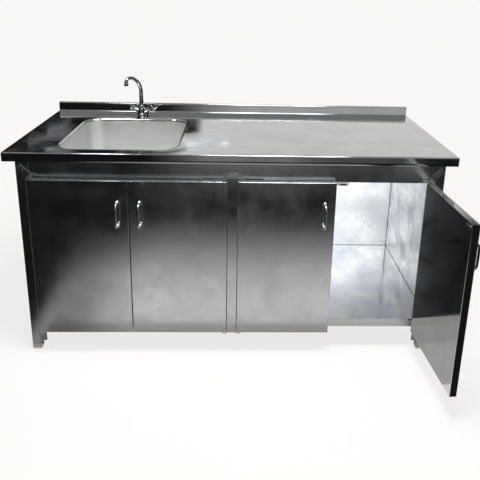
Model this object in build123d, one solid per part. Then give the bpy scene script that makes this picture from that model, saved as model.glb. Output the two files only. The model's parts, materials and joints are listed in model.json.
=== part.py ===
from build123d import *
import os
from math import cos, radians, sin

# A stainless-steel kitchen sink unit: a folded worktop with an upstand and a pressed
# bowl on the left, on a frame of four angle posts, closed by four pivot-hung doors.
# Millimetres, +Z up, +X to the right seen from the front, doors towards -Y.
# Every function works from the worktop's front edge, which is y = 0 there. The pieces
# are moved once, in save(), so that the origin is the middle of the unit's footprint
# with the right-hand door standing open, at floor level.

# ---- worktop -------------------------------------------------------------------
WORKTOP_WIDTH = 1800.0
WORKTOP_DEPTH = 750.0
WORKTOP_TOP = 900.0
WORKTOP_SHEET = 2.0
EDGE_DROP = 38.0
EDGE_RETURN = 12.0
EDGE_BEND = 3.0
UPSTAND_HEIGHT = 42.0
UPSTAND_THICKNESS = 20.0
SIDE_OVERHANG = 40.0
FRONT_OVERHANG = 26.0
REAR_OVERHANG = 20.0

# ---- bowl ----------------------------------------------------------------------
BOWL_FROM_LEFT = 428.0
BOWL_WIDTH = 480.0
BOWL_FRONT_LEDGE = 68.0
BOWL_REAR_LEDGE = 182.0
BOWL_DEPTH = 250.0
BOWL_CORNER = 75.0
BOWL_DRAFT = 5.0
BOWL_FLOOR_RADIUS = 35.0
BOWL_WALL = 1.5
RIM_RADIUS = 8.0
RIM_FLAT = 10.0

# ---- waste ---------------------------------------------------------------------
WASTE_CUP_RADIUS = 43.0
WASTE_CUP_DEPTH = 42.0
WASTE_FLANGE_WIDTH = 14.0
WASTE_FLANGE = 1.5
WASTE_WALL = 1.5
WASTE_GASKET = 3.0
WASTE_NUT_HEIGHT = 12.0
WASTE_NUT_WIDTH = 8.0
WASTE_LUG = 3.0
WASTE_LUG_WIDTH = 10.0
WASTE_LUGS = 6
WASTE_THREAD_CLEARANCE = 0.2
WASTE_TAIL_RADIUS = 20.0
WASTE_TAIL_LENGTH = 75.0
BASKET_SIDE_GAP = 3.5
BASKET_DEPTH = 26.0
BASKET_WALL = 1.2
BASKET_RIM = 1.6
BASKET_HOLE_RADIUS = 3.0
BASKET_ROWS = 2
BASKET_FIRST_ROW_COUNT = 6
KNOB_RADIUS = 7.0
KNOB_THICKNESS = 6.0
KNOB_STEM_RADIUS = 3.0
KNOB_HEIGHT = 22.0

# ---- frame ---------------------------------------------------------------------
POST_LEG = 50.0
POST_WALL = 3.0
FOOT_CUT_WIDTH = 12.0
FOOT_CUT_HEIGHT = 25.0
PANEL_SHEET = 1.5
RAIL_DEPTH = 25.0
RAIL_HEIGHT = 60.0
FASCIA_HEIGHT = 116.0
SHELF_TOP = 150.0
SHELF_LIP = 38.0
SHELF_RETURN = 12.0
STIFFENER_WIDTH = 40.0
STIFFENER_HEIGHT = 20.0
STIFFENER_FLANGE = 12.0
STIFFENER_COUNT = 3

# ---- doors ---------------------------------------------------------------------
DOOR_TOP_LAP = 8.0
DOOR_BOTTOM_LAP = 9.0
DOOR_POST_LAP = 2.0
DOOR_THICKNESS = 28.0
DOOR_BACK_GAP = 2.5
DOOR_MEETING_GAP = 3.0
DOOR_SHEET = 1.2
DOOR_SKIN_DEPTH = 9.0
DOOR_BEND = 1.6
VENT_RADIUS = 4.0
VENT_FROM_HINGE = 214.0
VENT_FROM_BACK = 10.0
OPEN_ANGLE = 93.5
CENTRE_POST_WIDTH = 40.0
CENTRE_POST_GAP = 2.0
CENTRE_POST_RISE = 16.0
CENTRE_POST_RETURN = 10.0

# ---- pivots --------------------------------------------------------------------
PIVOT_FROM_SIDE = 8.0
PIVOT_FROM_FRONT = 5.0
PIN_RADIUS = 2.5
PIN_CLEARANCE = 0.05
PIN_IN_DOOR = 16.0
PIN_HEAD_RADIUS = 4.5
PIN_HEAD_HEIGHT = 1.8
PLATE = 3.0
TOP_PIVOT_GAP = 2.0
BOTTOM_PIVOT_GAP = 1.5
TONGUE_HALF = 9.5
STRAP_WIDTH = 22.0
STRAP_RISE = 46.0
STRAP_SLOPE = 45.0
STRAP_CORNER = 3.0
TAB_WIDTH = 32.0
TAB_DROP = 54.0
CENTRE_PLATE_RISE = 44.0
CENTRE_PLATE_TOP_HALF = 18.0
WASHER_RADIUS = 6.0
BLOCK_LENGTH = 30.0
BLOCK_HEIGHT = 22.0
LEAF_LENGTH = 100.0
LEAF_THICKNESS = 1.0

# ---- screws and bolts ----------------------------------------------------------
SCREW_RADIUS = 2.0
SCREW_HEAD_RADIUS = 4.0
SCREW_HEAD_HEIGHT = 2.2
SCREW_CLEARANCE = 0.2
SCREW_TIP = 4.0
SCREW_PITCH = 20.0
SCREW_FROM_END = 12.0
FASCIA_SCREW_FROM_SIDE = 185.0
FASCIA_SCREW_RISE = 47.0
BOLT_RADIUS = 3.0
BOLT_HEAD_ACROSS = 10.0
BOLT_HEAD_HEIGHT = 4.0
BOLT_NUT_HEIGHT = 5.0
BOLT_END = 2.0
BOLT_FROM_POST_EDGE = 14.0
BOLT_BELOW_TOP = 30.0

# ---- catches -------------------------------------------------------------------
CATCH_FROM_MEETING = 28.0
CATCH_LENGTH = 46.0
CATCH_HEIGHT = 16.0
CATCH_DEPTH = 16.0
CATCH_CORNER = 4.0
CATCH_AIR_GAP = 0.3
MAGNET_LENGTH = 30.0
MAGNET_HEIGHT = 8.0
MAGNET_DEPTH = 9.0
STRIKE_LENGTH = 34.0
STRIKE_HEIGHT = 14.0
STRIKE_THICKNESS = 1.5
STRIKE_CORNER = 3.5

# ---- door handles --------------------------------------------------------------
HANDLE_FROM_MEETING = 43.0
HANDLE_BELOW_TOP = 142.0
HANDLE_PITCH = 100.0
HANDLE_STANDOFF = 30.0
HANDLE_ROD_RADIUS = 5.0
HANDLE_BEND = 18.0
HANDLE_FOOT_RADIUS = 8.0
HANDLE_FOOT_TOP_RADIUS = 6.0
HANDLE_FOOT_HEIGHT = 3.0

# ---- tap -----------------------------------------------------------------------
TAP_FROM_BOWL = 4.0
TAP_FROM_BACK = 90.0
TAP_SEAL = 2.0
TAP_BASE_RADIUS = 23.0
TAP_BASE_HEIGHT = 5.0
TAP_COLUMN_FOOT_RADIUS = 18.0
TAP_COLUMN_RADIUS = 17.0
TAP_COLUMN_TOP = 32.0
TAP_EDGE = 2.5
TAP_BRANCH_RADIUS = 10.0
TAP_BRANCH_START = 10.5
TAP_BRANCH_LENGTH = 34.0
TAP_BRANCH_SLOPE = 28.0
TAP_SHANK_RADIUS = 16.0
TAP_SHANK_LENGTH = 45.0
TAP_HOLE_CLEARANCE = 1.5
TAP_NUT_RADIUS = 24.0
TAP_NUT_HEIGHT = 7.5
TAP_WASHER_RADIUS = 27.0
TAP_WASHER = 1.5
TAP_INLET_RADIUS = 5.0
TAP_INLET_SPREAD = 7.5
TAP_INLET_CLEARANCE = 0.2
TAP_INLET_LENGTH = 60.0
TAP_INLET_END_RADIUS = 6.6
TAP_INLET_END_LENGTH = 14.0
RUNNING_GAP = 0.3
BORE_CLEARANCE = 0.06
SPOUT_COLLAR_RADIUS = 13.5
SPOUT_COLLAR_HEIGHT = 14.0
SPOUT_COLLAR_EDGE = 2.0
SPOUT_FOOT_RADIUS = 10.5
SPOUT_TIP_RADIUS = 7.5
SPOUT_RISE = 75.7
SPOUT_SWEEP_RADIUS = 86.5
SPOUT_CROWN_RADIUS = 20.0
SPOUT_SWIVEL = 60.0
SPOUT_SPIGOT_RADIUS = 8.0
SPOUT_SPIGOT_HEIGHT = 10.0
AERATOR_RADIUS = 10.0
AERATOR_HEIGHT = 15.0
AERATOR_EDGE = 1.5
AERATOR_BORE = 6.5
AERATOR_BORE_DEPTH = 5.0
GRIP_NECK_RADIUS = 9.0
GRIP_NECK = 8.0
GRIP_RADIUS = 15.0
GRIP_BACK_RADIUS = 13.0
GRIP_LENGTH = 27.0
GRIP_EDGE = 2.0
GRIP_FLUTES = 8
GRIP_FLUTE_RADIUS = 3.2
GRIP_FLUTE_DEPTH = 1.6
SPINDLE_RADIUS = 5.0
SPINDLE_LENGTH = 12.0

# ---- places that follow from the sizes above -------------------------------------
WORKTOP_SIDE = WORKTOP_WIDTH / 2
UNDERSIDE = WORKTOP_TOP - WORKTOP_SHEET
BOWL_X = BOWL_FROM_LEFT - WORKTOP_SIDE
BOWL_LENGTH = WORKTOP_DEPTH - BOWL_FRONT_LEDGE - BOWL_REAR_LEDGE
BOWL_Y = BOWL_FRONT_LEDGE + BOWL_LENGTH / 2
BOWL_FLOOR = WORKTOP_TOP - BOWL_DEPTH
RIM_REACH = RIM_RADIUS + RIM_FLAT
BODY_SIDE = WORKTOP_SIDE - SIDE_OVERHANG
BODY_FRONT = FRONT_OVERHANG
BODY_BACK = WORKTOP_DEPTH - REAR_OVERHANG
PANEL_SIDE = BODY_SIDE - POST_WALL
INNER_SIDE = PANEL_SIDE - PANEL_SHEET
RAIL_FRONT = BODY_FRONT + POST_WALL
RAIL_BACK = RAIL_FRONT + RAIL_DEPTH
PANEL_BACK = BODY_BACK - POST_WALL
INNER_BACK = PANEL_BACK - PANEL_SHEET
REAR_RAIL_FRONT = INNER_BACK - RAIL_DEPTH
FASCIA_BOTTOM = UNDERSIDE - FASCIA_HEIGHT
SHELF_BOTTOM = SHELF_TOP - SHELF_LIP
DOOR_TOP = FASCIA_BOTTOM + DOOR_TOP_LAP
DOOR_BOTTOM = SHELF_BOTTOM - DOOR_BOTTOM_LAP
DOOR_HEIGHT = DOOR_TOP - DOOR_BOTTOM
DOOR_BACK = BODY_FRONT - DOOR_BACK_GAP
DOOR_FRONT = DOOR_BACK - DOOR_THICKNESS
DOOR_SEAM = DOOR_FRONT + DOOR_SKIN_DEPTH
DOOR_OUTER_X = BODY_SIDE - POST_LEG + DOOR_POST_LAP
DOOR_INNER_X = CENTRE_POST_WIDTH / 2 + CENTRE_POST_GAP
DOOR_WIDTH = (DOOR_OUTER_X - DOOR_INNER_X - DOOR_MEETING_GAP) / 2
CENTRE_POST_TOP = DOOR_TOP + CENTRE_POST_RISE
PIVOT_Y = DOOR_FRONT + PIVOT_FROM_FRONT
POST_PIVOT_X = DOOR_OUTER_X - PIVOT_FROM_SIDE
CENTRE_PIVOT_X = DOOR_INNER_X + PIVOT_FROM_SIDE
TOP_TONGUE = DOOR_TOP + TOP_PIVOT_GAP
BOTTOM_TONGUE = DOOR_BOTTOM - BOTTOM_PIVOT_GAP - PLATE
STRIKE_Z = FASCIA_BOTTOM - CATCH_HEIGHT / 2
CATCH_FRONT = DOOR_BACK + STRIKE_THICKNESS + CATCH_AIR_GAP
CUP_BOTTOM = BOWL_FLOOR - WASTE_CUP_DEPTH
CUP_INSIDE = WASTE_CUP_RADIUS - WASTE_WALL
NUT_INSIDE = WASTE_CUP_RADIUS + WASTE_THREAD_CLEARANCE
BASKET_RADIUS = CUP_INSIDE - BASKET_SIDE_GAP
BASKET_SEAT = BOWL_FLOOR + WASTE_FLANGE
BASKET_BOTTOM = BASKET_SEAT - BASKET_DEPTH
TAP_X = BOWL_X + TAP_FROM_BOWL
TAP_Y = WORKTOP_DEPTH - TAP_FROM_BACK
TAP_FOOT = WORKTOP_TOP + TAP_SEAL
SHANK_BOTTOM = TAP_FOOT - TAP_SHANK_LENGTH
SPOUT_FOOT = TAP_FOOT + TAP_COLUMN_TOP + RUNNING_GAP
SPOUT_REACH = SPOUT_SWEEP_RADIUS + SPOUT_CROWN_RADIUS
SPOUT_END = SPOUT_FOOT + SPOUT_RISE + SPOUT_SWEEP_RADIUS - SPOUT_CROWN_RADIUS

# How far the open door's free end stands in front of the worktop's edge.
DOOR_REACH = (
    (DOOR_WIDTH - PIVOT_FROM_SIDE) * sin(radians(OPEN_ANGLE))
    - (DOOR_THICKNESS - PIVOT_FROM_FRONT) * cos(radians(OPEN_ANGLE))
    - PIVOT_Y
)
ROW_SHIFT = (DOOR_REACH - WORKTOP_DEPTH) / 2

# Door number: (x of its hinged edge, +1 where the door runs towards +X from there).
DOORS = {
    1: (-DOOR_OUTER_X, 1),
    2: (-DOOR_INNER_X, -1),
    3: (DOOR_INNER_X, 1),
    4: (DOOR_OUTER_X, -1),
}
OPEN_DOOR = 4

# Cutting shapes run this far past what they cut, and drills this far to each side.
OVERCUT = 1.0
DRILL_RUN = 12.0
# Shapes that are fused at a face run this far into each other.
WELD = 0.01
# Turns that lay a bar, which stands along +Z, along another axis.
TO_FRONT = (90, 0, 0)
TO_BACK = (-90, 0, 0)
TO_RIGHT = (0, 90, 0)
TO_LEFT = (0, -90, 0)
# A turn of a hat section, which lies along +Y, to +X.
HAT_TO_RIGHT = (0, 0, -90)


# ---- small shapes --------------------------------------------------------------
def block(x0, x1, y0, y1, z0, z1):
    """A block between two x, two y and two z."""
    middle = ((x0 + x1) / 2, (y0 + y1) / 2, (z0 + z1) / 2)
    return Pos(*middle) * Box(abs(x1 - x0), abs(y1 - y0), abs(z1 - z0))


def rod(radius, base, length, turn=(0, 0, 0), top_radius=None):
    """A round bar or cone that starts at base and runs along +Z turned by turn."""
    if top_radius is None:
        shape = Cylinder(radius, length)
    else:
        shape = Cone(radius, top_radius, length)
    return Pos(*base) * Rot(*turn) * Pos(0, 0, length / 2) * shape


def ring(outer, inner, base, height):
    """A flat ring standing on base."""
    hole_base = (base[0], base[1], base[2] - OVERCUT)
    return rod(outer, base, height) - rod(inner, hole_base, height + 2 * OVERCUT)


def mirrored(shape):
    """The same shape on the other side of the unit."""
    return mirror(shape, about=Plane.YZ)


def group(shapes):
    """Separate solids that share one node."""
    return Compound([solid for shape in shapes for solid in shape.solids()])


def both_sides(shape):
    """A left-hand piece and its right-hand twin in one node."""
    return group([shape, mirrored(shape)])


def drill_y(shape, spots, radius):
    """Holes along Y, to both sides of each spot."""
    for x, y, z in spots:
        shape -= rod(radius, (x, y - DRILL_RUN, z), 2 * DRILL_RUN, TO_BACK)
    return shape


def drill_x(shape, spots, radius):
    """Holes along X, to both sides of each spot."""
    for x, y, z in spots:
        shape -= rod(radius, (x - DRILL_RUN, y, z), 2 * DRILL_RUN, TO_RIGHT)
    return shape


def save(node, shape):
    """Writes one node, moved from the worktop's front edge to the middle of the footprint."""
    export_step(shape.moved(Location((0, ROW_SHIFT, 0))), f"parts/{node}.step")


# ---- worktop and bowl ------------------------------------------------------------
def bowl_outline(grow, z):
    """The bowl's rounded outline at height z, grown all round."""
    sketch = RectangleRounded(BOWL_WIDTH + 2 * grow, BOWL_LENGTH + 2 * grow, BOWL_CORNER + grow)
    return Pos(BOWL_X, BOWL_Y, z) * sketch


def bowl_hollow(grow):
    """The space inside the bowl, or the bowl's outside where it is grown by a wall."""
    top = WORKTOP_TOP - grow
    tub = extrude(bowl_outline(grow, top), BOWL_DEPTH, dir=(0, 0, -1), taper=BOWL_DRAFT)
    floor_edges = tub.edges().group_by(Axis.Z)[0]
    tub = fillet(floor_edges, BOWL_FLOOR_RADIUS + grow)
    mouth = extrude(bowl_outline(RIM_REACH, top), grow + WELD, dir=(0, 0, 1))
    rim_edges = tub.edges().group_by(Axis.Z)[-1]
    whole = tub + mouth
    rim = [e for e in whole.edges() if any((e.center() - r.center()).length < WELD for r in rim_edges)]
    return fillet(rim, RIM_RADIUS - grow)


def sink_bowl():
    """The pressed bowl with its rolled rim, a flat flange and the waste hole."""
    shell = bowl_hollow(BOWL_WALL) - bowl_hollow(0)
    hole_base = (BOWL_X, BOWL_Y, BOWL_FLOOR - BOWL_WALL - OVERCUT)
    return shell - rod(WASTE_CUP_RADIUS, hole_base, BOWL_WALL + 2 * OVERCUT)


def worktop():
    """The folded top: drop edges with a return, an upstand, the bowl and tap holes."""
    side = WORKTOP_SIDE
    back = WORKTOP_DEPTH
    t = WORKTOP_SHEET
    low = WORKTOP_TOP - EDGE_DROP
    high = WORKTOP_TOP + UPSTAND_HEIGHT
    upstand_front = back - UPSTAND_THICKNESS
    slab = block(-side, side, 0, back, low, WORKTOP_TOP)
    slab += block(-side, side, upstand_front, back, WORKTOP_TOP, high)
    front_edges = slab.edges().filter_by(Axis.X).group_by(Axis.Y)[0].sort_by(Axis.Z)[-1:]
    side_edges = slab.edges().filter_by(Axis.Y).group_by(Axis.Z)[1]
    top_edges = slab.edges().filter_by(Axis.X).group_by(Axis.Z)[-1]
    corner_edges = slab.edges().filter_by(Axis.Z).group_by(Axis.Y)[0]
    slab = fillet(front_edges + side_edges + top_edges + corner_edges, EDGE_BEND)
    slab -= block(-side + t, side - t, t, back - t, low + t, UNDERSIDE)
    slab -= block(-side + t, side - t, upstand_front + t, back - t, low + t, high - t)
    lip = EDGE_RETURN
    slab -= block(-side + lip, side - lip, lip, back - lip, low - OVERCUT, low + t + OVERCUT)
    slab -= extrude(bowl_outline(RIM_REACH, UNDERSIDE - OVERCUT), t + 2 * OVERCUT)
    hole_radius = TAP_SHANK_RADIUS + TAP_HOLE_CLEARANCE
    return slab - rod(hole_radius, (TAP_X, TAP_Y, UNDERSIDE - OVERCUT), t + 2 * OVERCUT)


# ---- folded sheet and frame --------------------------------------------------------
def hat_channel(length):
    """A hat section along +Y from y = 0, its brim at z = 0 and its crown below."""
    half = STIFFENER_WIDTH / 2
    t = PANEL_SHEET
    crown = block(-half, half, 0, length, -STIFFENER_HEIGHT, 0)
    crown -= block(-half + t, half - t, -OVERCUT, length + OVERCUT, -STIFFENER_HEIGHT + t, OVERCUT)
    brim = block(-half - STIFFENER_FLANGE, -half + t, 0, length, -t, 0)
    return crown + brim + mirrored(brim)


def worktop_stiffeners():
    """Hat channels under the worktop beside the bowl, from the front to the rear rail."""
    first = BOWL_X + BOWL_WIDTH / 2 + RIM_REACH
    spacing = (INNER_SIDE - RAIL_DEPTH - first) / STIFFENER_COUNT
    places = [first + spacing * (number + 0.5) for number in range(STIFFENER_COUNT)]
    hat = hat_channel(REAR_RAIL_FRONT - RAIL_BACK)
    return group([Pos(x, RAIL_BACK, UNDERSIDE) * hat for x in places])


def shelf_stiffener():
    """One hat channel under the shelf, along the unit."""
    length = 2 * (INNER_SIDE - PANEL_SHEET)
    middle = (RAIL_FRONT + INNER_BACK) / 2
    place = Pos(-length / 2, middle, SHELF_TOP - PANEL_SHEET) * Rot(*HAT_TO_RIGHT)
    return place * hat_channel(length)


def channel(height, length):
    """A rail along +X from x = 0: its web on y = 0, its flanges towards +Y."""
    t = PANEL_SHEET
    solid_bar = block(0, length, 0, RAIL_DEPTH, 0, height)
    return solid_bar - block(-OVERCUT, length + OVERCUT, t, RAIL_DEPTH + OVERCUT, t, height - t)


def front_rail():
    """The plain band between the worktop's edge and the doors."""
    rail = Pos(-INNER_SIDE, RAIL_FRONT, FASCIA_BOTTOM) * channel(FASCIA_HEIGHT, 2 * INNER_SIDE)
    spots = [(x, RAIL_FRONT, z) for x, z in fascia_screw_places() + centre_top_screw_places()]
    return drill_y(rail, spots, SCREW_RADIUS + SCREW_CLEARANCE)


def rear_rail():
    rail = Rot(0, 0, 180) * channel(RAIL_HEIGHT, 2 * INNER_SIDE)
    return Pos(INNER_SIDE, INNER_BACK, UNDERSIDE - RAIL_HEIGHT) * rail


def side_rail():
    """The left top rail, between the front and the rear rail."""
    place = Pos(-INNER_SIDE, REAR_RAIL_FRONT, UNDERSIDE - RAIL_HEIGHT) * Rot(*HAT_TO_RIGHT)
    rail = place * channel(RAIL_HEIGHT, REAR_RAIL_FRONT - RAIL_BACK)
    return drill_x(rail, top_bolt_places(), BOLT_RADIUS + SCREW_CLEARANCE)


def side_panel():
    """The left side sheet, behind the flanges of its two posts."""
    panel = block(-PANEL_SIDE, -INNER_SIDE, RAIL_FRONT, PANEL_BACK, SHELF_BOTTOM, UNDERSIDE)
    return drill_x(panel, top_bolt_places() + shelf_bolt_places(), BOLT_RADIUS + SCREW_CLEARANCE)


def back_panel():
    return block(-INNER_SIDE, INNER_SIDE, INNER_BACK, PANEL_BACK, SHELF_BOTTOM, UNDERSIDE)


def bottom_shelf():
    """A tray turned upside down, with a return along its front lip."""
    t = PANEL_SHEET
    side = INNER_SIDE
    low = SHELF_BOTTOM
    tray = block(-side, side, RAIL_FRONT, INNER_BACK, low, SHELF_TOP)
    tray -= block(-side + t, side - t, RAIL_FRONT + t, INNER_BACK - t, low - OVERCUT, SHELF_TOP - t)
    tray += block(-side, side, RAIL_FRONT, RAIL_FRONT + SHELF_RETURN, low, low + t)
    left = shelf_bolt_places()
    right = [(-x, y, z) for x, y, z in left]
    tray = drill_x(tray, left + right, BOLT_RADIUS + SCREW_CLEARANCE)
    spots = [(x, RAIL_FRONT, z) for x, z in centre_bottom_screw_places()]
    return drill_y(tray, spots, SCREW_RADIUS + SCREW_CLEARANCE)


def foot_cut(edge, inward):
    """The outline of the corner taken off a flange that ends at edge, as (across, up)."""
    inside = edge + inward * FOOT_CUT_WIDTH
    outside = edge - inward * OVERCUT
    return make_face(Polyline(
        (inside, 0),
        (edge, FOOT_CUT_HEIGHT),
        (outside, FOOT_CUT_HEIGHT),
        (outside, -OVERCUT),
        (inside, -OVERCUT),
        close=True,
    ))


def angle_post(is_front):
    """The left front or left rear post: an angle with the inner corners of its foot cut off."""
    y_face, inward = (BODY_FRONT, 1) if is_front else (BODY_BACK, -1)
    y_leg = y_face + inward * POST_LEG
    y_inside = y_face + inward * POST_WALL
    x_leg = -BODY_SIDE + POST_LEG
    angle = block(-BODY_SIDE, x_leg, y_face, y_leg, 0, UNDERSIDE)
    corner = (-BODY_SIDE, y_face, UNDERSIDE / 2)
    angle = fillet(angle.edges().filter_by(Axis.Z).sort_by_distance(corner)[:1], POST_WALL)
    angle -= block(
        -BODY_SIDE + POST_WALL, x_leg + OVERCUT,
        y_inside, y_leg + inward * OVERCUT,
        -OVERCUT, UNDERSIDE + OVERCUT,
    )
    run = POST_WALL + OVERCUT
    angle -= Pos(0, y_face, 0) * extrude(Plane.XZ * foot_cut(x_leg, -1), run, both=True)
    angle -= Pos(-BODY_SIDE, 0, 0) * extrude(Plane.YZ * foot_cut(y_leg, -inward), run, both=True)
    bolts = [p for p in top_bolt_places() + shelf_bolt_places() if abs(p[1] - y_face) < POST_LEG]
    angle = drill_x(angle, bolts, BOLT_RADIUS + SCREW_CLEARANCE)
    if is_front:
        spots = [(-x, BODY_FRONT, z) for x, z in strap_screw_places() + tab_screw_places()]
        angle = drill_y(angle, spots, SCREW_RADIUS + SCREW_CLEARANCE)
    return angle


# ---- screws and bolts --------------------------------------------------------------
def top_bolt_places():
    """Where bolts go through the left posts' side flanges into the top rail."""
    z = UNDERSIDE - BOLT_BELOW_TOP
    inset = POST_LEG - BOLT_FROM_POST_EDGE
    return [(-BODY_SIDE, BODY_FRONT + inset, z), (-BODY_SIDE, BODY_BACK - inset, z)]


def shelf_bolt_places():
    """Where bolts go through the left posts' side flanges into the shelf."""
    z = (SHELF_TOP + SHELF_BOTTOM) / 2
    return [(x, y, z) for x, y, _ in top_bolt_places()]


def strap_screw_places():
    """x and z of the two screws in the right top bracket's strap."""
    slope = radians(STRAP_SLOPE)
    strap_length = STRAP_RISE / sin(slope)
    along = [strap_length - SCREW_FROM_END / 2, strap_length - SCREW_FROM_END / 2 - SCREW_PITCH]
    start_z = TOP_TONGUE + PLATE
    return [(POST_PIVOT_X + run * cos(slope), start_z + run * sin(slope)) for run in along]


def tab_screw_places():
    """x and z of the two screws in the right bottom bracket's tab."""
    x = POST_PIVOT_X - TONGUE_HALF + TAB_WIDTH - 2 * SCREW_HEAD_RADIUS
    low = BOTTOM_TONGUE - TAB_DROP + SCREW_FROM_END
    return [(x, low), (x, low + SCREW_PITCH)]


def centre_top_screw_places():
    """x and z of the two screws in the upper plate between the middle doors."""
    z = TOP_TONGUE + CENTRE_PLATE_RISE - SCREW_FROM_END
    return [(-SCREW_PITCH / 2, z), (SCREW_PITCH / 2, z)]


def centre_bottom_screw_places():
    """x and z of the two screws in the lower plate, behind the centre post's open back."""
    middle = (SHELF_TOP + SHELF_BOTTOM) / 2
    return [(0, middle - SCREW_PITCH / 2), (0, middle + SCREW_PITCH / 2)]


def fascia_screw_places():
    """x and z of the two screws in the front rail."""
    x = BODY_SIDE - FASCIA_SCREW_FROM_SIDE
    z = FASCIA_BOTTOM + FASCIA_SCREW_RISE
    return [(-x, z), (x, z)]


def pan_screw(x, y_head, z, length):
    """A pan-head screw whose head bears on the face y = y_head."""
    head = rod(SCREW_HEAD_RADIUS, (x, y_head - SCREW_HEAD_HEIGHT, z), SCREW_HEAD_HEIGHT, TO_BACK)
    head = fillet(head.edges().group_by(Axis.Y)[0], SCREW_HEAD_HEIGHT / 2)
    return head + rod(SCREW_RADIUS, (x, y_head - WELD, z), length, TO_BACK)


def fixing_screws():
    """All the pan-head screws on the front of the frame."""
    screws = []
    grip = PLATE + POST_WALL - SCREW_CLEARANCE
    for x, z in strap_screw_places() + tab_screw_places():
        screws.append(both_sides(pan_screw(x, BODY_FRONT - PLATE, z, grip)))
    through = PANEL_SHEET + SCREW_TIP
    for x, z in fascia_screw_places():
        screws.append(pan_screw(x, RAIL_FRONT, z, through))
    for x, z in centre_top_screw_places() + centre_bottom_screw_places():
        screws.append(pan_screw(x, BODY_FRONT, z, POST_WALL + through))
    return group(screws)


def frame_bolt(x, y, z, grip_length):
    """A hexagon bolt from the left through a stack of sheets, and its nut."""
    hexagon = RegularPolygon(BOLT_HEAD_ACROSS / 2, 6, major_radius=False)
    head = Pos(x, y, z) * Rot(*TO_LEFT) * extrude(hexagon, BOLT_HEAD_HEIGHT)
    length = grip_length + BOLT_NUT_HEIGHT + BOLT_END
    bolt = head + rod(BOLT_RADIUS, (x - WELD, y, z), length, TO_RIGHT)
    nut = extrude(hexagon - Circle(BOLT_RADIUS), BOLT_NUT_HEIGHT)
    return [bolt, Pos(x + grip_length, y, z) * Rot(*TO_RIGHT) * nut]


def frame_bolts():
    """Bolts and nuts that hold the side rails and the shelf to the four posts."""
    left = []
    for x, y, z in top_bolt_places() + shelf_bolt_places():
        left += frame_bolt(x, y, z, POST_WALL + 2 * PANEL_SHEET)
    return both_sides(group(left))


# ---- pivots ----------------------------------------------------------------------
def tongue(x, low, back):
    """A plate under or over a door's corner, with the hole for the pin."""
    plate = block(x - TONGUE_HALF, x + TONGUE_HALF, DOOR_FRONT, back, low, low + PLATE)
    nose = plate.edges().filter_by(Axis.Z).group_by(Axis.Y)[0]
    plate = fillet(nose, TONGUE_HALF / 2)
    return plate - rod(PIN_RADIUS, (x, PIVOT_Y, low - OVERCUT), PLATE + 2 * OVERCUT)


def post_top_bracket():
    """The right top bracket: a strap sloping up across the post, and its tongue."""
    strap_length = STRAP_RISE / sin(radians(STRAP_SLOPE))
    length = strap_length + 2 * STRAP_WIDTH
    sketch = RectangleRounded(length, STRAP_WIDTH, STRAP_CORNER)
    outline = Rot(0, 0, STRAP_SLOPE) * Pos(strap_length - length / 2, 0) * sketch
    strap = extrude(Plane.XZ * outline, PLATE)
    strap = Pos(POST_PIVOT_X, BODY_FRONT, TOP_TONGUE + PLATE) * strap
    strap -= block(0, BODY_SIDE, -BODY_FRONT, 2 * BODY_FRONT, 0, TOP_TONGUE)
    strap -= block(0, POST_PIVOT_X - TONGUE_HALF, -BODY_FRONT, 2 * BODY_FRONT, 0, WORKTOP_TOP)
    spots = [(x, BODY_FRONT, z) for x, z in strap_screw_places()]
    strap = drill_y(strap, spots, SCREW_RADIUS + SCREW_CLEARANCE)
    return strap + tongue(POST_PIVOT_X, TOP_TONGUE, BODY_FRONT)


def post_bottom_bracket():
    """The right bottom bracket: a tab down the post, and its tongue."""
    inner = POST_PIVOT_X - TONGUE_HALF
    low = BOTTOM_TONGUE - TAB_DROP
    high = BOTTOM_TONGUE + PLATE
    tab = block(inner, inner + TAB_WIDTH, BODY_FRONT - PLATE, BODY_FRONT, low, high)
    spots = [(x, BODY_FRONT, z) for x, z in tab_screw_places()]
    tab = drill_y(tab, spots, SCREW_RADIUS + SCREW_CLEARANCE)
    return tab + tongue(POST_PIVOT_X, BOTTOM_TONGUE, BODY_FRONT)


def post_pivot_brackets():
    return both_sides(group([post_top_bracket(), post_bottom_bracket()]))


def centre_pivot_plates():
    """The two plates between the middle doors, each with two tongues."""
    half = CENTRE_PIVOT_X + TONGUE_HALF
    high = TOP_TONGUE + CENTRE_PLATE_RISE
    outline = Polyline(
        (-half, TOP_TONGUE),
        (half, TOP_TONGUE),
        (half, TOP_TONGUE + PLATE),
        (CENTRE_PLATE_TOP_HALF, high),
        (-CENTRE_PLATE_TOP_HALF, high),
        (-half, TOP_TONGUE + PLATE),
        close=True,
    )
    top = Pos(0, RAIL_FRONT, 0) * extrude(Plane.XZ * make_face(outline), POST_WALL)
    shelf_under = SHELF_TOP - PANEL_SHEET
    bottom = block(-half, half, BODY_FRONT, RAIL_FRONT, BOTTOM_TONGUE, shelf_under)
    for side in (-1, 1):
        top += tongue(side * CENTRE_PIVOT_X, TOP_TONGUE, RAIL_FRONT)
        bottom += tongue(side * CENTRE_PIVOT_X, BOTTOM_TONGUE, RAIL_FRONT)
    radius = SCREW_RADIUS + SCREW_CLEARANCE
    top = drill_y(top, [(x, BODY_FRONT, z) for x, z in centre_top_screw_places()], radius)
    bottom = drill_y(bottom, [(x, BODY_FRONT, z) for x, z in centre_bottom_screw_places()], radius)
    return group([top, bottom])


def pivot_places():
    return [-POST_PIVOT_X, -CENTRE_PIVOT_X, CENTRE_PIVOT_X, POST_PIVOT_X]


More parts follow.
